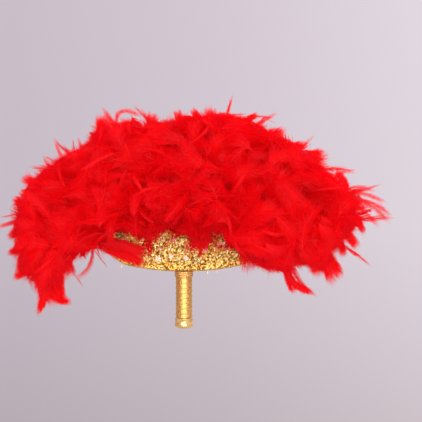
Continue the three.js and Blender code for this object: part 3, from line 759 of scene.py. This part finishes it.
def reach_point(row, degrees, reach=None):
    """Where feathers in a direction end, by the row's reach or another."""
    position = np.clip((degrees - OUTER_START) / REACH_STEP, 0, len(OUTER_REACH) - 1.001)
    if row.inner:
        share = table_share(INNER_REACH, degrees / REACH_STEP)
    else:
        share = table_share(OUTER_REACH, position)
    distance = FEATHER_REACH * share * (row.reach if reach is None else reach)
    x = distance * np.cos(np.radians(degrees))
    z = FEATHER_CENTRE + distance * np.sin(np.radians(degrees))
    return stacked(x, 0, z)


def root_point(row, degrees):
    """Where a row's bunch is bound at an angle, in the board's plane."""
    width, height, lift, spread = row.root
    angle = np.radians(90 + (degrees - 90) * spread)
    upper = BOARD_HEIGHT - FEATHER_RISE
    x = BOARD_HALF_WIDTH * width * np.cos(angle)
    z = FEATHER_CENTRE + upper * (lift + height * np.sin(angle))
    return stacked(x, 0, z)


def feather_point(row, degrees, share, lift):
    """A place among a row's feathers, by its share of the way from root to reach."""
    degrees, share, lift = np.broadcast_arrays(*np.atleast_1d(degrees, share, lift))
    degrees = degrees.astype(float)
    root = root_point(row, degrees)
    place = root + (reach_point(row, degrees) - root) * share[:, None]
    crown = (FRONT_CROWN if row.side < 0 else BACK_CROWN) * row.crown
    full = 1.3 * np.sqrt(table_share(INNER_REACH, degrees / REACH_STEP)) if row.inner else 1
    rise = crown * full * np.sin(math.pi * 0.6 * np.maximum(share, 0))
    place[:, 1] = row.side * (OVER_COVER + BINDING_HEIGHT / 2 + rise + lift)
    return place


def strays(tips, centre, side):
    """Whether a feather would leave the fan's outline or its rounded depth, or hide the lace,
    or its quill starts so near the outline that the stalk would show."""
    if not inside(OUTLINE, to_pixels(centre[:1] * [ROOT_ROOM, 1, 1])).all():
        return True
    x, z = tips[:, 0], tips[:, 2] - FEATHER_CENTRE
    out = np.clip(np.hypot(x, z) / edge_reach(x, z), 0, 1)
    limit = np.where(tips[:, 1] < 0, FRONT_LIMIT, BACK_LIMIT)
    if (tips[:, 1] / limit > np.sqrt(1 - RIM_SLIMNESS * out ** 2)).any():
        return True
    pixels = to_pixels(tips)
    if inside(OUTLINE, pixels).mean() < LEAST_INSIDE:
        return True
    pixels = np.vstack([pixels, to_pixels(centre)])
    return side < 0 and any(inside(window, pixels).any() for window in LACE_WINDOWS)


def push_to_edge(quill, tips, gap):
    """Moves a quill in the fan's plane till its barbs lie a gap inside the outline."""
    scale = CAMERA_DISTANCE / (CAMERA_DISTANCE + tips[:, 1])
    x, z = tips[:, 0] * scale, (tips[:, 2] - FEATHER_CENTRE) * scale
    slack = np.percentile(edge_reach(x, z) - np.hypot(x, z), 8) - gap
    angle = math.atan2(z.mean(), x.mean())
    quill.centre = quill.centre + slack * np.array([math.cos(angle), 0, math.sin(angle)])


def tube(batch, route, radius, uv):
    """A thin three-sided tube along a route."""
    tangent = unit(np.gradient(route, axis=0))
    across = unit(np.cross(tangent, [0.3, 0.2, 0.9]))
    over = np.cross(tangent, across)
    rings = (route[:, None] + radius * (np.cos(THREE_SIDES)[None, :, None] * across[:, None]
                                        + np.sin(THREE_SIDES)[None, :, None] * over[:, None]))
    uvs = np.tile(np.add(uv, [[0, 0.01], [0.01, 0], [0, -0.01]]), (len(route), 1))
    batch.add(rings.reshape(-1, 3), uvs, ring_faces(len(route), 3))


def knot(batch, row, degrees, tone):
    """The thread-wound root of a bunch, glued to the cover."""
    root = root_point(row, np.array([degrees]))[0]
    profile = [(1, 0), (1.02, 0.2), (0.94, 0.3), (1.0, 0.45), (0.9, 0.56), (0.6, 0.8), (0.2, 1)]
    sides = 16
    points, faces = rings_of([(BINDING_RADIUS * r, row.side * BINDING_HEIGHT * h)
                              for r, h in profile], sides)
    uvs = stacked(np.linspace(0.02, 0.3, len(profile))[:, None], tone + 0.1 * np.cos(circle(sides)))
    batch.add(points + [root[0], row.side * OVER_COVER, root[2]], uvs.reshape(-1, 2), faces)


def draw_feather(random, row, cell, kinds):
    """One feather's form, length and quill, somewhere in its bunch's part of the row."""
    degrees = random.uniform(*cell)
    share = random.uniform(*row.spread)
    lift = random.uniform(-row.fall, MOST_LIFT)
    root, onward = feather_point(row, degrees, [share, share + 0.06], lift)
    beside = feather_point(row, degrees + 3, share, lift)[0]
    ahead = unit(onward - root)
    up = unit(np.cross(unit(beside - root), ahead))
    up = up * (1 if up[1] * row.side > 0 else -1)
    freedom = CALM_TURN if random.uniform() < CALM_SHARE else FREE_TURN
    turn = random.normal(0, math.radians(freedom))
    ahead = math.cos(turn) * ahead + math.sin(turn) * unit(np.cross(up, ahead))
    tilt = math.radians(random.normal(*TILT))
    ahead, up = (math.cos(tilt) * ahead + math.sin(tilt) * up,
                 math.cos(tilt) * up - math.sin(tilt) * ahead)
    ahead = unit(ahead + [0, 0, -random.uniform(0, MOST_DROOP)])
    roll = random.normal(0, math.radians(ROLL))
    across = unit(np.cross(up, ahead))
    up = unit(math.cos(roll) * np.cross(ahead, across) + math.sin(roll) * across)
    pick = random.uniform()
    forms, lengths = next(kind[1:] for kind in kinds if pick < kind[0])
    form, length = forms[random.integers(len(forms))], random.uniform(*lengths)
    room = np.linalg.norm(reach_point(row, np.array([degrees]))[0] - root)
    length = min(length, max(LEAST_LENGTH, 1.05 * room))
    curl = random.normal(*CURL)
    quill = Quill.curled(root, ahead, up, length, curl, random.normal(0, SWAY), random.normal(0, TWIST))
    if not row.inner and random.uniform() < EDGE_SHARE:
        push_to_edge(quill, quill.laid(form.tips, length), random.uniform(0, EDGE_GAP))
    return form, length, quill, degrees, share, lift


def single_feather(number, batch):
    """One of the singly placed feathers. A wide one is three feathers laid over each other."""
    x0, y0, bend, x1, y1, width, depth = SINGLES[number]
    root, tip = from_pixels(x0, y0, depth), from_pixels(x1, y1, depth * 0.8)
    random = np.random.default_rng([SEED, 80, number])
    wide = width > WIDE_SINGLE
    opening = (68, 30) if wide else (46, 14) if width > THIN_SINGLE else (24, 12)
    for layer in range(3 if wide else 1):
        spread = 0.1 * width * PIXEL_MM * min(layer, 1)
        start = root + random.normal(0, spread, 3)
        finish = tip + random.normal(0, spread, 3) * [1, 0.5, 1]
        side = np.array([-(finish - start)[2], 0, (finish - start)[0]])
        middle = (start + finish) / 2 + (bend + random.normal(0, 0.06) * wide) * side
        up = np.array([random.normal(0, 0.3), -1, random.normal(0, 0.3)])
        route = curve(np.linspace(0, 1, 12)[:, None], start, middle, finish)
        quill, length = Quill.along(route, up)
        form = Form(600 + number + 100 * layer, 90 if wide else 60, width / 2 * PIXEL_MM / length,
                    opening, cling=0.15, fill=1.3 if wide else 0.85, loose=0.03, cup=0.4,
                    ragged=0.3, start=0.05)
        tone = random.uniform(0.35, 0.8) if wide else random.uniform(0.85, 0.98)
        quill.place(form, 0.94 * length, batch, tone)


def singles_of(name, row, index):
    """The numbers of the singly placed feathers of one bunch, by their angle round the fan."""
    span = (row.end - row.start) / row.bunches
    rim = ROWS["front_rim_bunch"]
    for number, (x, y, _, _, _, _, depth) in enumerate(SINGLES):
        root = from_pixels(x, y, depth)
        angle = math.degrees(math.atan2(root[2] - FEATHER_CENTRE, root[0])) % 360
        angle = angle - 360 if angle > 285 else angle
        owner = "front_rim_bunch" if rim.start <= angle <= rim.end else "front_inner_bunch"
        if owner == name and index <= (angle - row.start) / span < index + 1:
            yield number


def feather_bunch(batch, random, row, cell, kinds):
    """The feathers of one bunch, each with a thread from the bunch's knot to its quill."""
    middle = (cell[0] + cell[1]) / 2
    steps = np.linspace(0, 1, 6)
    placed = 0
    for _ in range(12 * row.feathers):
        form, length, quill, degrees, share, lift = draw_feather(random, row, cell, kinds)
        if strays(quill.laid(form.tips, length), quill.centre, row.side):
            continue
        quill.place(form, length, batch, random.uniform(0.25, 0.8))
        route = feather_point(row, middle + (degrees - middle) * np.minimum(1, 0.16 + 2 * steps),
                              share * steps, lift * steps)
        route[-1] = quill.centre[0]
        tube(batch, route, THREAD_RADIUS, (0.3, 0.35))
        placed += 1
        if placed == row.feathers:
            return


def feather_bunches(material):
    kinds = feather_kinds()
    for number, (name, row) in enumerate(ROWS.items()):
        span = (row.end - row.start) / row.bunches
        for index in range(row.bunches):
            low = row.start + span * index
            batch = Batch()
            knot(batch, row, low + span / 2, 0.4)
            for single in singles_of(name, row, index):
                single_feather(single, batch)
            random = np.random.default_rng([SEED, number, index])
            feather_bunch(batch, random, row, (low, low + span), kinds)
            bunch = f"{name}_{index + 1}"
            batch.build(f"{bunch}_feathers", material, [bunch])


def rim_at(degrees):
    """A place on the board's upper rim, and the way out of it."""
    cos, sin = math.cos(math.radians(degrees)), math.sin(math.radians(degrees))
    point = np.array([BOARD_HALF_WIDTH * cos, 0, CORNER_Z + BOARD_RISE * sin])
    return point, unit([cos * BOARD_RISE, 0, sin * BOARD_HALF_WIDTH])


def edge_plumes(material):
    """Long plumes on bent quills, whose roots sit in the board's drilled edge."""
    for index, (rim, aim, reach, bend, wide) in enumerate(PLUMES):
        random = np.random.default_rng([SEED, 90, index])
        point, out = rim_at(rim)
        tip = reach_point(ROWS["front_rim_bunch"], np.array([aim]), reach)[0]
        length = np.linalg.norm(tip - point)
        across = unit([tip[2] - point[2], 0, point[0] - tip[0]])
        first = point + out * length * PLUME_BENDS[0]
        last = point + (tip - point) * PLUME_BENDS[1] + across * length * bend
        t = np.linspace(0, 1, 16)[:, None]
        route = curve(t, point, first, last, tip)
        route[:, 1:2] += PLUME_CURL * np.sin(math.pi * t) * (1 if index % 2 else -1) * t
        roll = random.normal(0, 0.35)
        quill, along = Quill.along(route, np.array([math.sin(roll), -math.cos(roll), 0.1]))
        form = Form(500 + index, 60, 0.8 * PLUME_HALF_WIDTH * wide / length, (40, 12), cling=0.3,
                    fill=1.2, loose=0.012, cup=0.4, ragged=0.5, start=0.4)
        batch = Batch()
        quill.place(form, along * 0.93, batch, random.uniform(0.35, 0.8))
        tube(batch, np.linspace(point - out * QUILL_POCKET, point, 4), 1.0, (0.97, 0.4))
        batch.build(f"edge_plume_{index + 1}_feather", material,
                    [f"edge_plume_{index + 1}"])


# Lace, beads and crystals

def on_board(x, z, inset):
    """Whether points of the board's plane lie inside its outline by an inset."""
    top = (x / (BOARD_HALF_WIDTH - inset)) ** 2 + ((z - CORNER_Z) / (BOARD_RISE - inset)) ** 2 <= 1
    angle = np.arctan2(z - EDGE_CENTRE, np.abs(x))
    arc = np.hypot(x, z - EDGE_CENTRE) <= LOWER_EDGE_RADIUS - inset
    corner = np.hypot(np.abs(x) - CORNER_X, z - CORNER_Z) <= LOWER_CORNER_RADIUS - inset
    return np.where(z >= CORNER_Z, top, np.where(angle < CORNER_END, arc, corner))


def sequin_lace(material):
    """Cup sequins, open rings and narrow ones, crowded over the lace that shows."""
    random = np.random.default_rng([SEED, 70])
    batch = Batch()
    sides = 8
    for number, z0 in enumerate(np.arange(BOARD_BOTTOM, BOARD_BOTTOM + SEQUIN_RISE, SEQUIN_ROW)):
        for x0 in np.arange(-SEQUIN_SPAN, SEQUIN_SPAN, SEQUIN_STEP) + SEQUIN_STEP / 2 * (number % 2):
            x = x0 + random.uniform(-SEQUIN_SCATTER, SEQUIN_SCATTER)
            z = z0 + random.uniform(-SEQUIN_SCATTER, SEQUIN_SCATTER)
            if not on_board(x, z, SEQUIN_INSET):
                continue
            kind = random.uniform()
            outer, hole, dish = CUP_SEQUIN if kind < CUP_SHARE else OPEN_RING
            profile = (outer, 0), ((outer + hole) / 2, dish * 0.7), (hole, dish)
            points, faces = rings_of(profile, sides)
            if kind > NARROW_SHARE:
                points = points * NARROW_SHAPE
            points = turned(points, random.normal(0, 0.4, 2), random.uniform(0, 6.3))
            points += [x, -COVER_FACE - random.uniform(*SEQUIN_HEIGHTS), z]
            centre = random.uniform(0.04, 0.96, 2)
            batch.add(points, uv_patch(centre, 0.03, np.tile(circle(sides), 3)), faces)
    return batch.build("sequin_lace_field", material, smooth=False)


def board_edge(angles, centre, inset):
    """How far the board's outline lies from a centre in each direction."""
    low, high = np.zeros_like(angles), np.full_like(angles, 2 * BOARD_HALF_WIDTH)
    for _ in range(30):
        middle = (low + high) / 2
        within = on_board(middle * np.cos(angles), centre + middle * np.sin(angles), inset)
        low, high = np.where(within, middle, low), np.where(within, high, middle)
    return low


def cloth_cover(name, side, material, node, pucker):
    """Cloth stretched over a face of the board, drawn in by its stitches along the edge."""
    sides, rings = 240, 26
    centre = BOARD_BOTTOM + BOARD_HEIGHT * 0.45
    angles = circle(sides)
    reach = board_edge(angles, centre, COVER_INSET)
    share = np.linspace(0, 1, rings)[:, None] ** 0.8
    x, z = reach * share * np.cos(angles), centre + reach * share * np.sin(angles)
    fold = pucker * np.cos(60 * angles) * share ** 8
    weave = 0.5 * pucker * (1 + np.sin(x / 2.1) * np.sin(z / 2.1))
    face = COVER_FACE - pucker - weave + fold
    face[-1] = COVER_INNER + 0.4
    layers = [stacked(x, side * face, z), stacked(x, side * COVER_INNER, z)]
    uvs = [stacked(0.25 + 0.5 * half + 0.0022 * x, 0.5 + 0.0036 * (z - centre)) for half in (0, 1)]
    skin, count = ring_faces(rings, sides), rings * sides
    rim = np.arange(count - sides, count)
    ahead = np.roll(rim, -1)
    hem = stacked(rim, ahead, ahead + count, rim + count)
    faces = np.concatenate([skin, skin[:, ::-1] + count, hem])
    batch = Batch()
    batch.add(np.concatenate(layers).reshape(-1, 3), np.concatenate(uvs).reshape(-1, 2),
              faces if side > 0 else faces[:, ::-1])
    cloth = batch.build(name, material, [node])


def edge_route(inset, step):
    """Places along the lower edge, right to left, with the direction out of the board."""
    corner_radius, edge_radius = LOWER_CORNER_RADIUS - inset, LOWER_EDGE_RADIUS - inset
    corner = corner_radius * (BRAID_END - CORNER_END)
    whole = 2 * corner + 2 * (CORNER_END + math.pi / 2) * edge_radius
    for along in np.arange(step / 2, whole, step):
        if along < corner:
            x, z, radius = CORNER_X, CORNER_Z, corner_radius
            angle = BRAID_END - along / radius
        elif along > whole - corner:
            x, z, radius = -CORNER_X, CORNER_Z, corner_radius
            angle = -math.pi - CORNER_END - (along - whole + corner) / radius
        else:
            x, z, radius = 0, EDGE_CENTRE, edge_radius
            angle = CORNER_END - (along - corner) / radius
        yield x + radius * math.cos(angle), z + radius * math.sin(angle), angle


def plaited_edge(material):
    """Rows of short bugle beads at all angles over each face of the braid, a close row
    under it, and a few small beads that hang from it."""
    random = np.random.default_rng([SEED, 71])
    batch = Batch()
    length, radius = EDGE_BEAD
    polar = np.linspace(0.18, math.pi - 0.18, 5)
    profile = stacked(radius * np.sin(polar), length / 2 * np.cos(polar))
    points, faces = rings_of(profile, 8)
    bead = points[:, [1, 0, 2]]

    def add_bead(points, low=0.04):
        batch.add(points, random.uniform(low, 0.96, 2) + 0.02 * bead[:, [0, 1]], faces)

    for side in (-1, 1):
        for inset in EDGE_INSETS:
            for x, z, angle in edge_route(inset, EDGE_STEP):
                slant = angle + math.pi / 2 + random.uniform(0, math.pi)
                y = side * (EDGE_HEIGHT + random.uniform(-0.15, 0.2))
                add_bead(spun(bead, slant) + [x, y, z])
    for x, z, angle in edge_route(UNDER_INSET, UNDER_STEP):
        if abs(x) >= HANDLE_ROOM:
            add_bead(spun(bead * UNDER_SHAPE, angle + math.pi / 2) + [x, 0, z])
    for share in HANGING_BEADS:
        x = BOARD_HALF_WIDTH * share
        z = EDGE_CENTRE - math.sqrt((LOWER_EDGE_RADIUS + HANGING_DROP) ** 2 - x ** 2)
        thread = np.array([[x, -3.2, z + 3], [x, -3.6, z + 0.6], [x + 0.3, -3.4, z - 0.6]])
        tube(batch, thread, THREAD_RADIUS, (0.3, 0.5))
        add_bead(bead[:, [1, 2, 0]] * [1, 1.3, 1.2] + [x + 0.3, -3.4, z - 2.0], 0.6)
    batch.build("plaited_bead_edge", material)


def crystal_clusters(material):
    """Cut stones round a raised one, a flower for each bead cluster."""
    sides = 8
    for index, (across, up) in enumerate(CLUSTER_PLACES):
        random = np.random.default_rng([SEED, 72, index])
        place = np.array([BOARD_HALF_WIDTH * across, -OVER_COVER, BOARD_BOTTOM + BOARD_HEIGHT * up])
        batch = Batch()
        spin = random.uniform(0, 1)
        for petal in range(PETALS + 1):
            angle = spin + 2 * math.pi * petal / PETALS
            size, out, lift = PETAL if petal < PETALS else MIDDLE
            points, faces = rings_of([(size * r, -size * h) for r, h in CRYSTAL_RINGS], sides)
            points = np.vstack([points, [0, -size * CRYSTAL_POINT, 0]])
            points = turned(points, random.normal(0, 0.18, 2), 0.4)
            points += place + [out * math.cos(angle), -lift, out * math.sin(angle)]
            last = 2 * sides + np.arange(sides)
            caps = stacked(last, np.roll(last, -1), 3 * sides)
            centre = random.uniform(0.1, 0.9, 2)
            batch.add(points, uv_patch(centre, 0.06, np.arange(len(points))), faces, caps)
        batch.build(f"crystal_cluster_{index + 1}", material,
                    [f"bead_cluster_{index + 1}"], smooth=False)


# Handle

def revolved(name, profile, material, node, sides=72, ripple=None):
    """A turned form whose profile points are (radius, z). A ripple changes the radii between
    the first and the last, which lie in the bore."""
    angles = circle(sides)
    radii, z = np.array(profile, float).T[..., None] + 0 * angles
    if ripple:
        radii[1:-1] += ripple(z[1:-1], angles)
    points = stacked(radii * np.cos(angles), radii * np.sin(angles), z)
    along = np.linspace(0.02, 0.98, len(profile))[:, None]
    uvs = stacked(0.02 + 0.96 * np.abs(angles / math.pi - 1), along)
    batch = Batch()
    batch.add(points.reshape(-1, 3), uvs.reshape(-1, 2), ring_faces(len(profile), sides))
    batch.build(name, material, [node])


def rounded(points, steps=5):
    """The profile with each corner turned into a short curve."""
    points = np.array(points, float)
    made = [points[0]]
    for before, corner, after in zip(points, points[1:], points[2:]):
        reach = 0.35 * min(np.linalg.norm(before - corner), np.linalg.norm(after - corner), 2.4)
        first, last = (corner + unit(end - corner) * reach for end in (before, after))
        made += [curve(t, first, corner, last) for t in np.linspace(0, 1, steps)]
    return made + [points[-1]]


def ribbon_lap(z, angles):
    """How far the wound ribbon stands out, with each turn lapped over the last."""
    turns = round((GRIP_TOP - GRIP_BOTTOM) / RIBBON_WIDTH)
    turn = turns * (z - GRIP_BOTTOM) / (GRIP_TOP - GRIP_BOTTOM)
    share = (turn - angles / (2 * math.pi)) % 1
    edge = np.clip(share / 0.06, 0, 1)
    return RIBBON_THICKNESS * ((1 - share) * edge * 0.85) + 0.05 * np.sin(9 * angles + 5 * turn)


def cord_twist(z, angles):
    return 0.35 * np.sin(26 * angles + (z - COLLAR_BOTTOM) * 3.2)


def handle_pieces(satin, gold_thread, gold_metal):
    grip = [(DOWEL_BORE, GRIP_BOTTOM)]
    grip += [(GRIP_RADIUS, z) for z in np.linspace(GRIP_BOTTOM, GRIP_TOP, 321)]
    grip.append((DOWEL_BORE, GRIP_TOP))
    revolved("grip_satin_wrap", grip, satin, "grip_ribbon_wrap", 96, ribbon_lap)
    collar = [(DOWEL_BORE, COLLAR_BOTTOM)]
    for cord in range(COLLAR_CORDS):
        for t in np.linspace(0, math.pi, 9):
            share = (cord + (1 - math.cos(t)) / 2) / COLLAR_CORDS
            collar.append((COLLAR_RADIUS - 1.5 + 1.15 * math.sin(t),
                           COLLAR_BOTTOM + (COLLAR_TOP - COLLAR_BOTTOM) * share))
    collar.append((DOWEL_BORE, COLLAR_TOP))
    revolved("collar_twisted_cord", collar, gold_thread, "handle_collar", 156, cord_twist)
    waist = (END_CAP_RADIUS + GRIP_RADIUS) / 2
    cap = rounded([
        (0.01, END_CAP_BOTTOM), (END_CAP_FOOT_RADIUS, END_CAP_BOTTOM),
        (END_CAP_RADIUS, END_CAP_BOTTOM + 3), (END_CAP_RADIUS, END_CAP_TOP - 8),
        (waist, END_CAP_TOP - 5), (END_CAP_RADIUS, END_CAP_TOP - 0.8),
        (END_CAP_RADIUS - 0.6, END_CAP_TOP), (DOWEL_BORE, END_CAP_TOP),
        (DOWEL_BORE, END_CAP_TOP - END_CAP_DEPTH), (0.01, END_CAP_TOP - END_CAP_DEPTH)])
    revolved("end_cap_turned", cap, gold_metal, "handle_end_cap")


# Camera, light and floor

def make_camera():
    data = bpy.data.cameras.new("camera")
    data.sensor_width = SENSOR_WIDTH
    data.lens = SENSOR_WIDTH / (PIXELS * PIXEL_MM) * CAMERA_DISTANCE
    data.clip_start, data.clip_end = 0.05, 50
    camera = add_object("camera", data)
    camera.location = (CAMERA_X * MM, -CAMERA_DISTANCE * MM, CAMERA_Z * MM)
    camera.rotation_euler = (math.pi / 2, 0, 0)
    bpy.context.scene.camera = camera


def make_lights():
    for name, (place, size, power) in LIGHTS.items():
        data = bpy.data.lights.new(name, "AREA")
        data.shape = "DISK"
        data.size = size
        data.energy = power
        light = add_object(name, data)
        light.location = place
        aim = Vector(LIGHT_AIM) - Vector(place)
        light.rotation_euler = aim.to_track_quat("-Z", "Y").to_euler()


def make_world():
    """A soft backdrop, painted darker to the left and towards the bottom as painted shade, and a paler
    glow that lights the fan.
    """
    look = Look("studio", "worlds")
    bpy.context.scene.world = look.holder
    x, _, z = look.parts(look.add("TexCoord", output="Generated"))

    def shaded(way, low, high, *stops):
        """A ramp along a direction, between two of its values."""
        return look.ramp(look.add("MapRange", Value=way, From_Min=low, From_Max=high), *stops)

    # The backdrop that camera rays and reflections see carries painted shade: darker to the left and
    # towards the bottom.
    painted_shade_left = shaded(x, -0.16, 0.22, (0, (0.55, 0.485, 0.545)), (0.45, (0.62, 0.55, 0.61)),
                       (1, (0.74, 0.665, 0.725)))
    painted_shade_low = shaded(z, -0.2, 0.17, (0, (0.78, 0.76, 0.75)), (0.5, (0.97, 0.97, 0.965)),
                      (1, (1, 1, 1)))
    around = shaded(z, -0.8, 0.3, (0, (0.7, 0.68, 0.69)), (1, (1, 0.97, 0.98)))
    glow = look.nodes["Background"]
    look.fill(glow, Color=around, Strength=GLOW_STRENGTH)
    shown = look.add("Background", Color=look.multiplied(painted_shade_left, painted_shade_low),
                     Strength=SHOWN_STRENGTH)
    path = look.nodes.new("ShaderNodeLightPath").outputs
    plain = path["Is Camera Ray"]
    for kind in ("Is Glossy Ray", "Is Transmission Ray"):
        plain = look.add("Math", plain, path[kind], operation="MAXIMUM")
    look.fill(look.nodes["World Output"],
              Surface=look.add("MixShader", plain, glow.outputs[0], shown))


def make_floor():
    look = Look("studio_floor")
    mesh = bpy.data.meshes.new("studio_floor")
    angles = circle(96)
    ring = [(FLOOR_RADIUS * math.cos(a), FLOOR_RADIUS * math.sin(a), FLOOR_HEIGHT) for a in angles]
    mesh.from_pydata(ring, [], [list(range(len(ring)))])
    mesh.materials.append(look.shade(Base_Color=(0.5, 0.445, 0.48), Roughness=0.9))
    floor = add_object("studio_floor", mesh)


# The scene

make_camera()
make_world()
make_floor()
make_lights()
# In both foils the darkest stops are painted shade and the palest stops are painted glints, which each
# sequin or bead takes at random.
gold_foil = foil_material(
    "gold_sequin", (0.0, (0.14, 0.04, 0.001)), (0.3, (0.26, 0.085, 0.002)), (0.38, (0.8, 0.4, 0.03)),
    (0.58, (0.95, 0.62, 0.1)), (0.66, (1.0, 0.9, 0.34)), (1.0, (1.0, 0.97, 0.55)))
gold_bead = foil_material(
    "gold_bugle", (0.0, (0.14, 0.045, 0.001)), (0.36, (0.32, 0.11, 0.003)), (0.46, (0.8, 0.4, 0.04)),
    (0.66, (1.0, 0.66, 0.11)), (0.8, (1.0, 0.9, 0.33)), (1.0, (1.0, 0.95, 0.48)))
gold_thread = gold_material("gold_thread", (0.6, 0.34, 0.08), (0.95, 0.68, 0.28), 0.32, 16)
gold_metal = gold_material("gold_plate", (0.78, 0.5, 0.16), (0.95, 0.68, 0.27), 0.16, 5)
satin = gold_material("gold_satin", (0.52, 0.29, 0.06), (0.8, 0.5, 0.16), 0.4, 20)
lace_ground = woven_material("lace_ground", (0.32, 0.13, 0.015), (0.85, 0.5, 0.14), 0.4, 260,
                             0.0006, metallic=0.5)
lining = woven_material("lining_satin", (0.5, 0.26, 0.05), (0.7, 0.4, 0.1), 0.4, 420, 0.0001,
                        metallic=0.3, sheen=0.3)
braid_cloth = woven_material("braid_cloth", (0.35, 0.17, 0.03), (0.8, 0.48, 0.14), 0.35, 300,
                             0.0004, metallic=0.6)
card = woven_material("card_board", (0.74, 0.68, 0.56), (0.84, 0.79, 0.68), 0.75, 90, 0.0001)
for node, material in (("core_board", card), ("lower_edge_braid", braid_cloth),
                       ("handle_core", wood_material())):
    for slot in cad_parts[node].material_slots:
        slot.material = material

feathers = feather_material()
feather_bunches(feathers)
edge_plumes(feathers)
sequins = sequin_lace(gold_foil)
cloth_cover("front_lace_ground", -1, lace_ground, "front_lace_cover", 0.12)
cloth_cover("back_lining_satin", 1, lining, "back_lining", 0.22)
plaited_edge(gold_bead)
crystal_clusters(crystal_material())
handle_pieces(satin, gold_thread, gold_metal)

scene = bpy.context.scene
scene.view_settings.view_transform = "Standard"
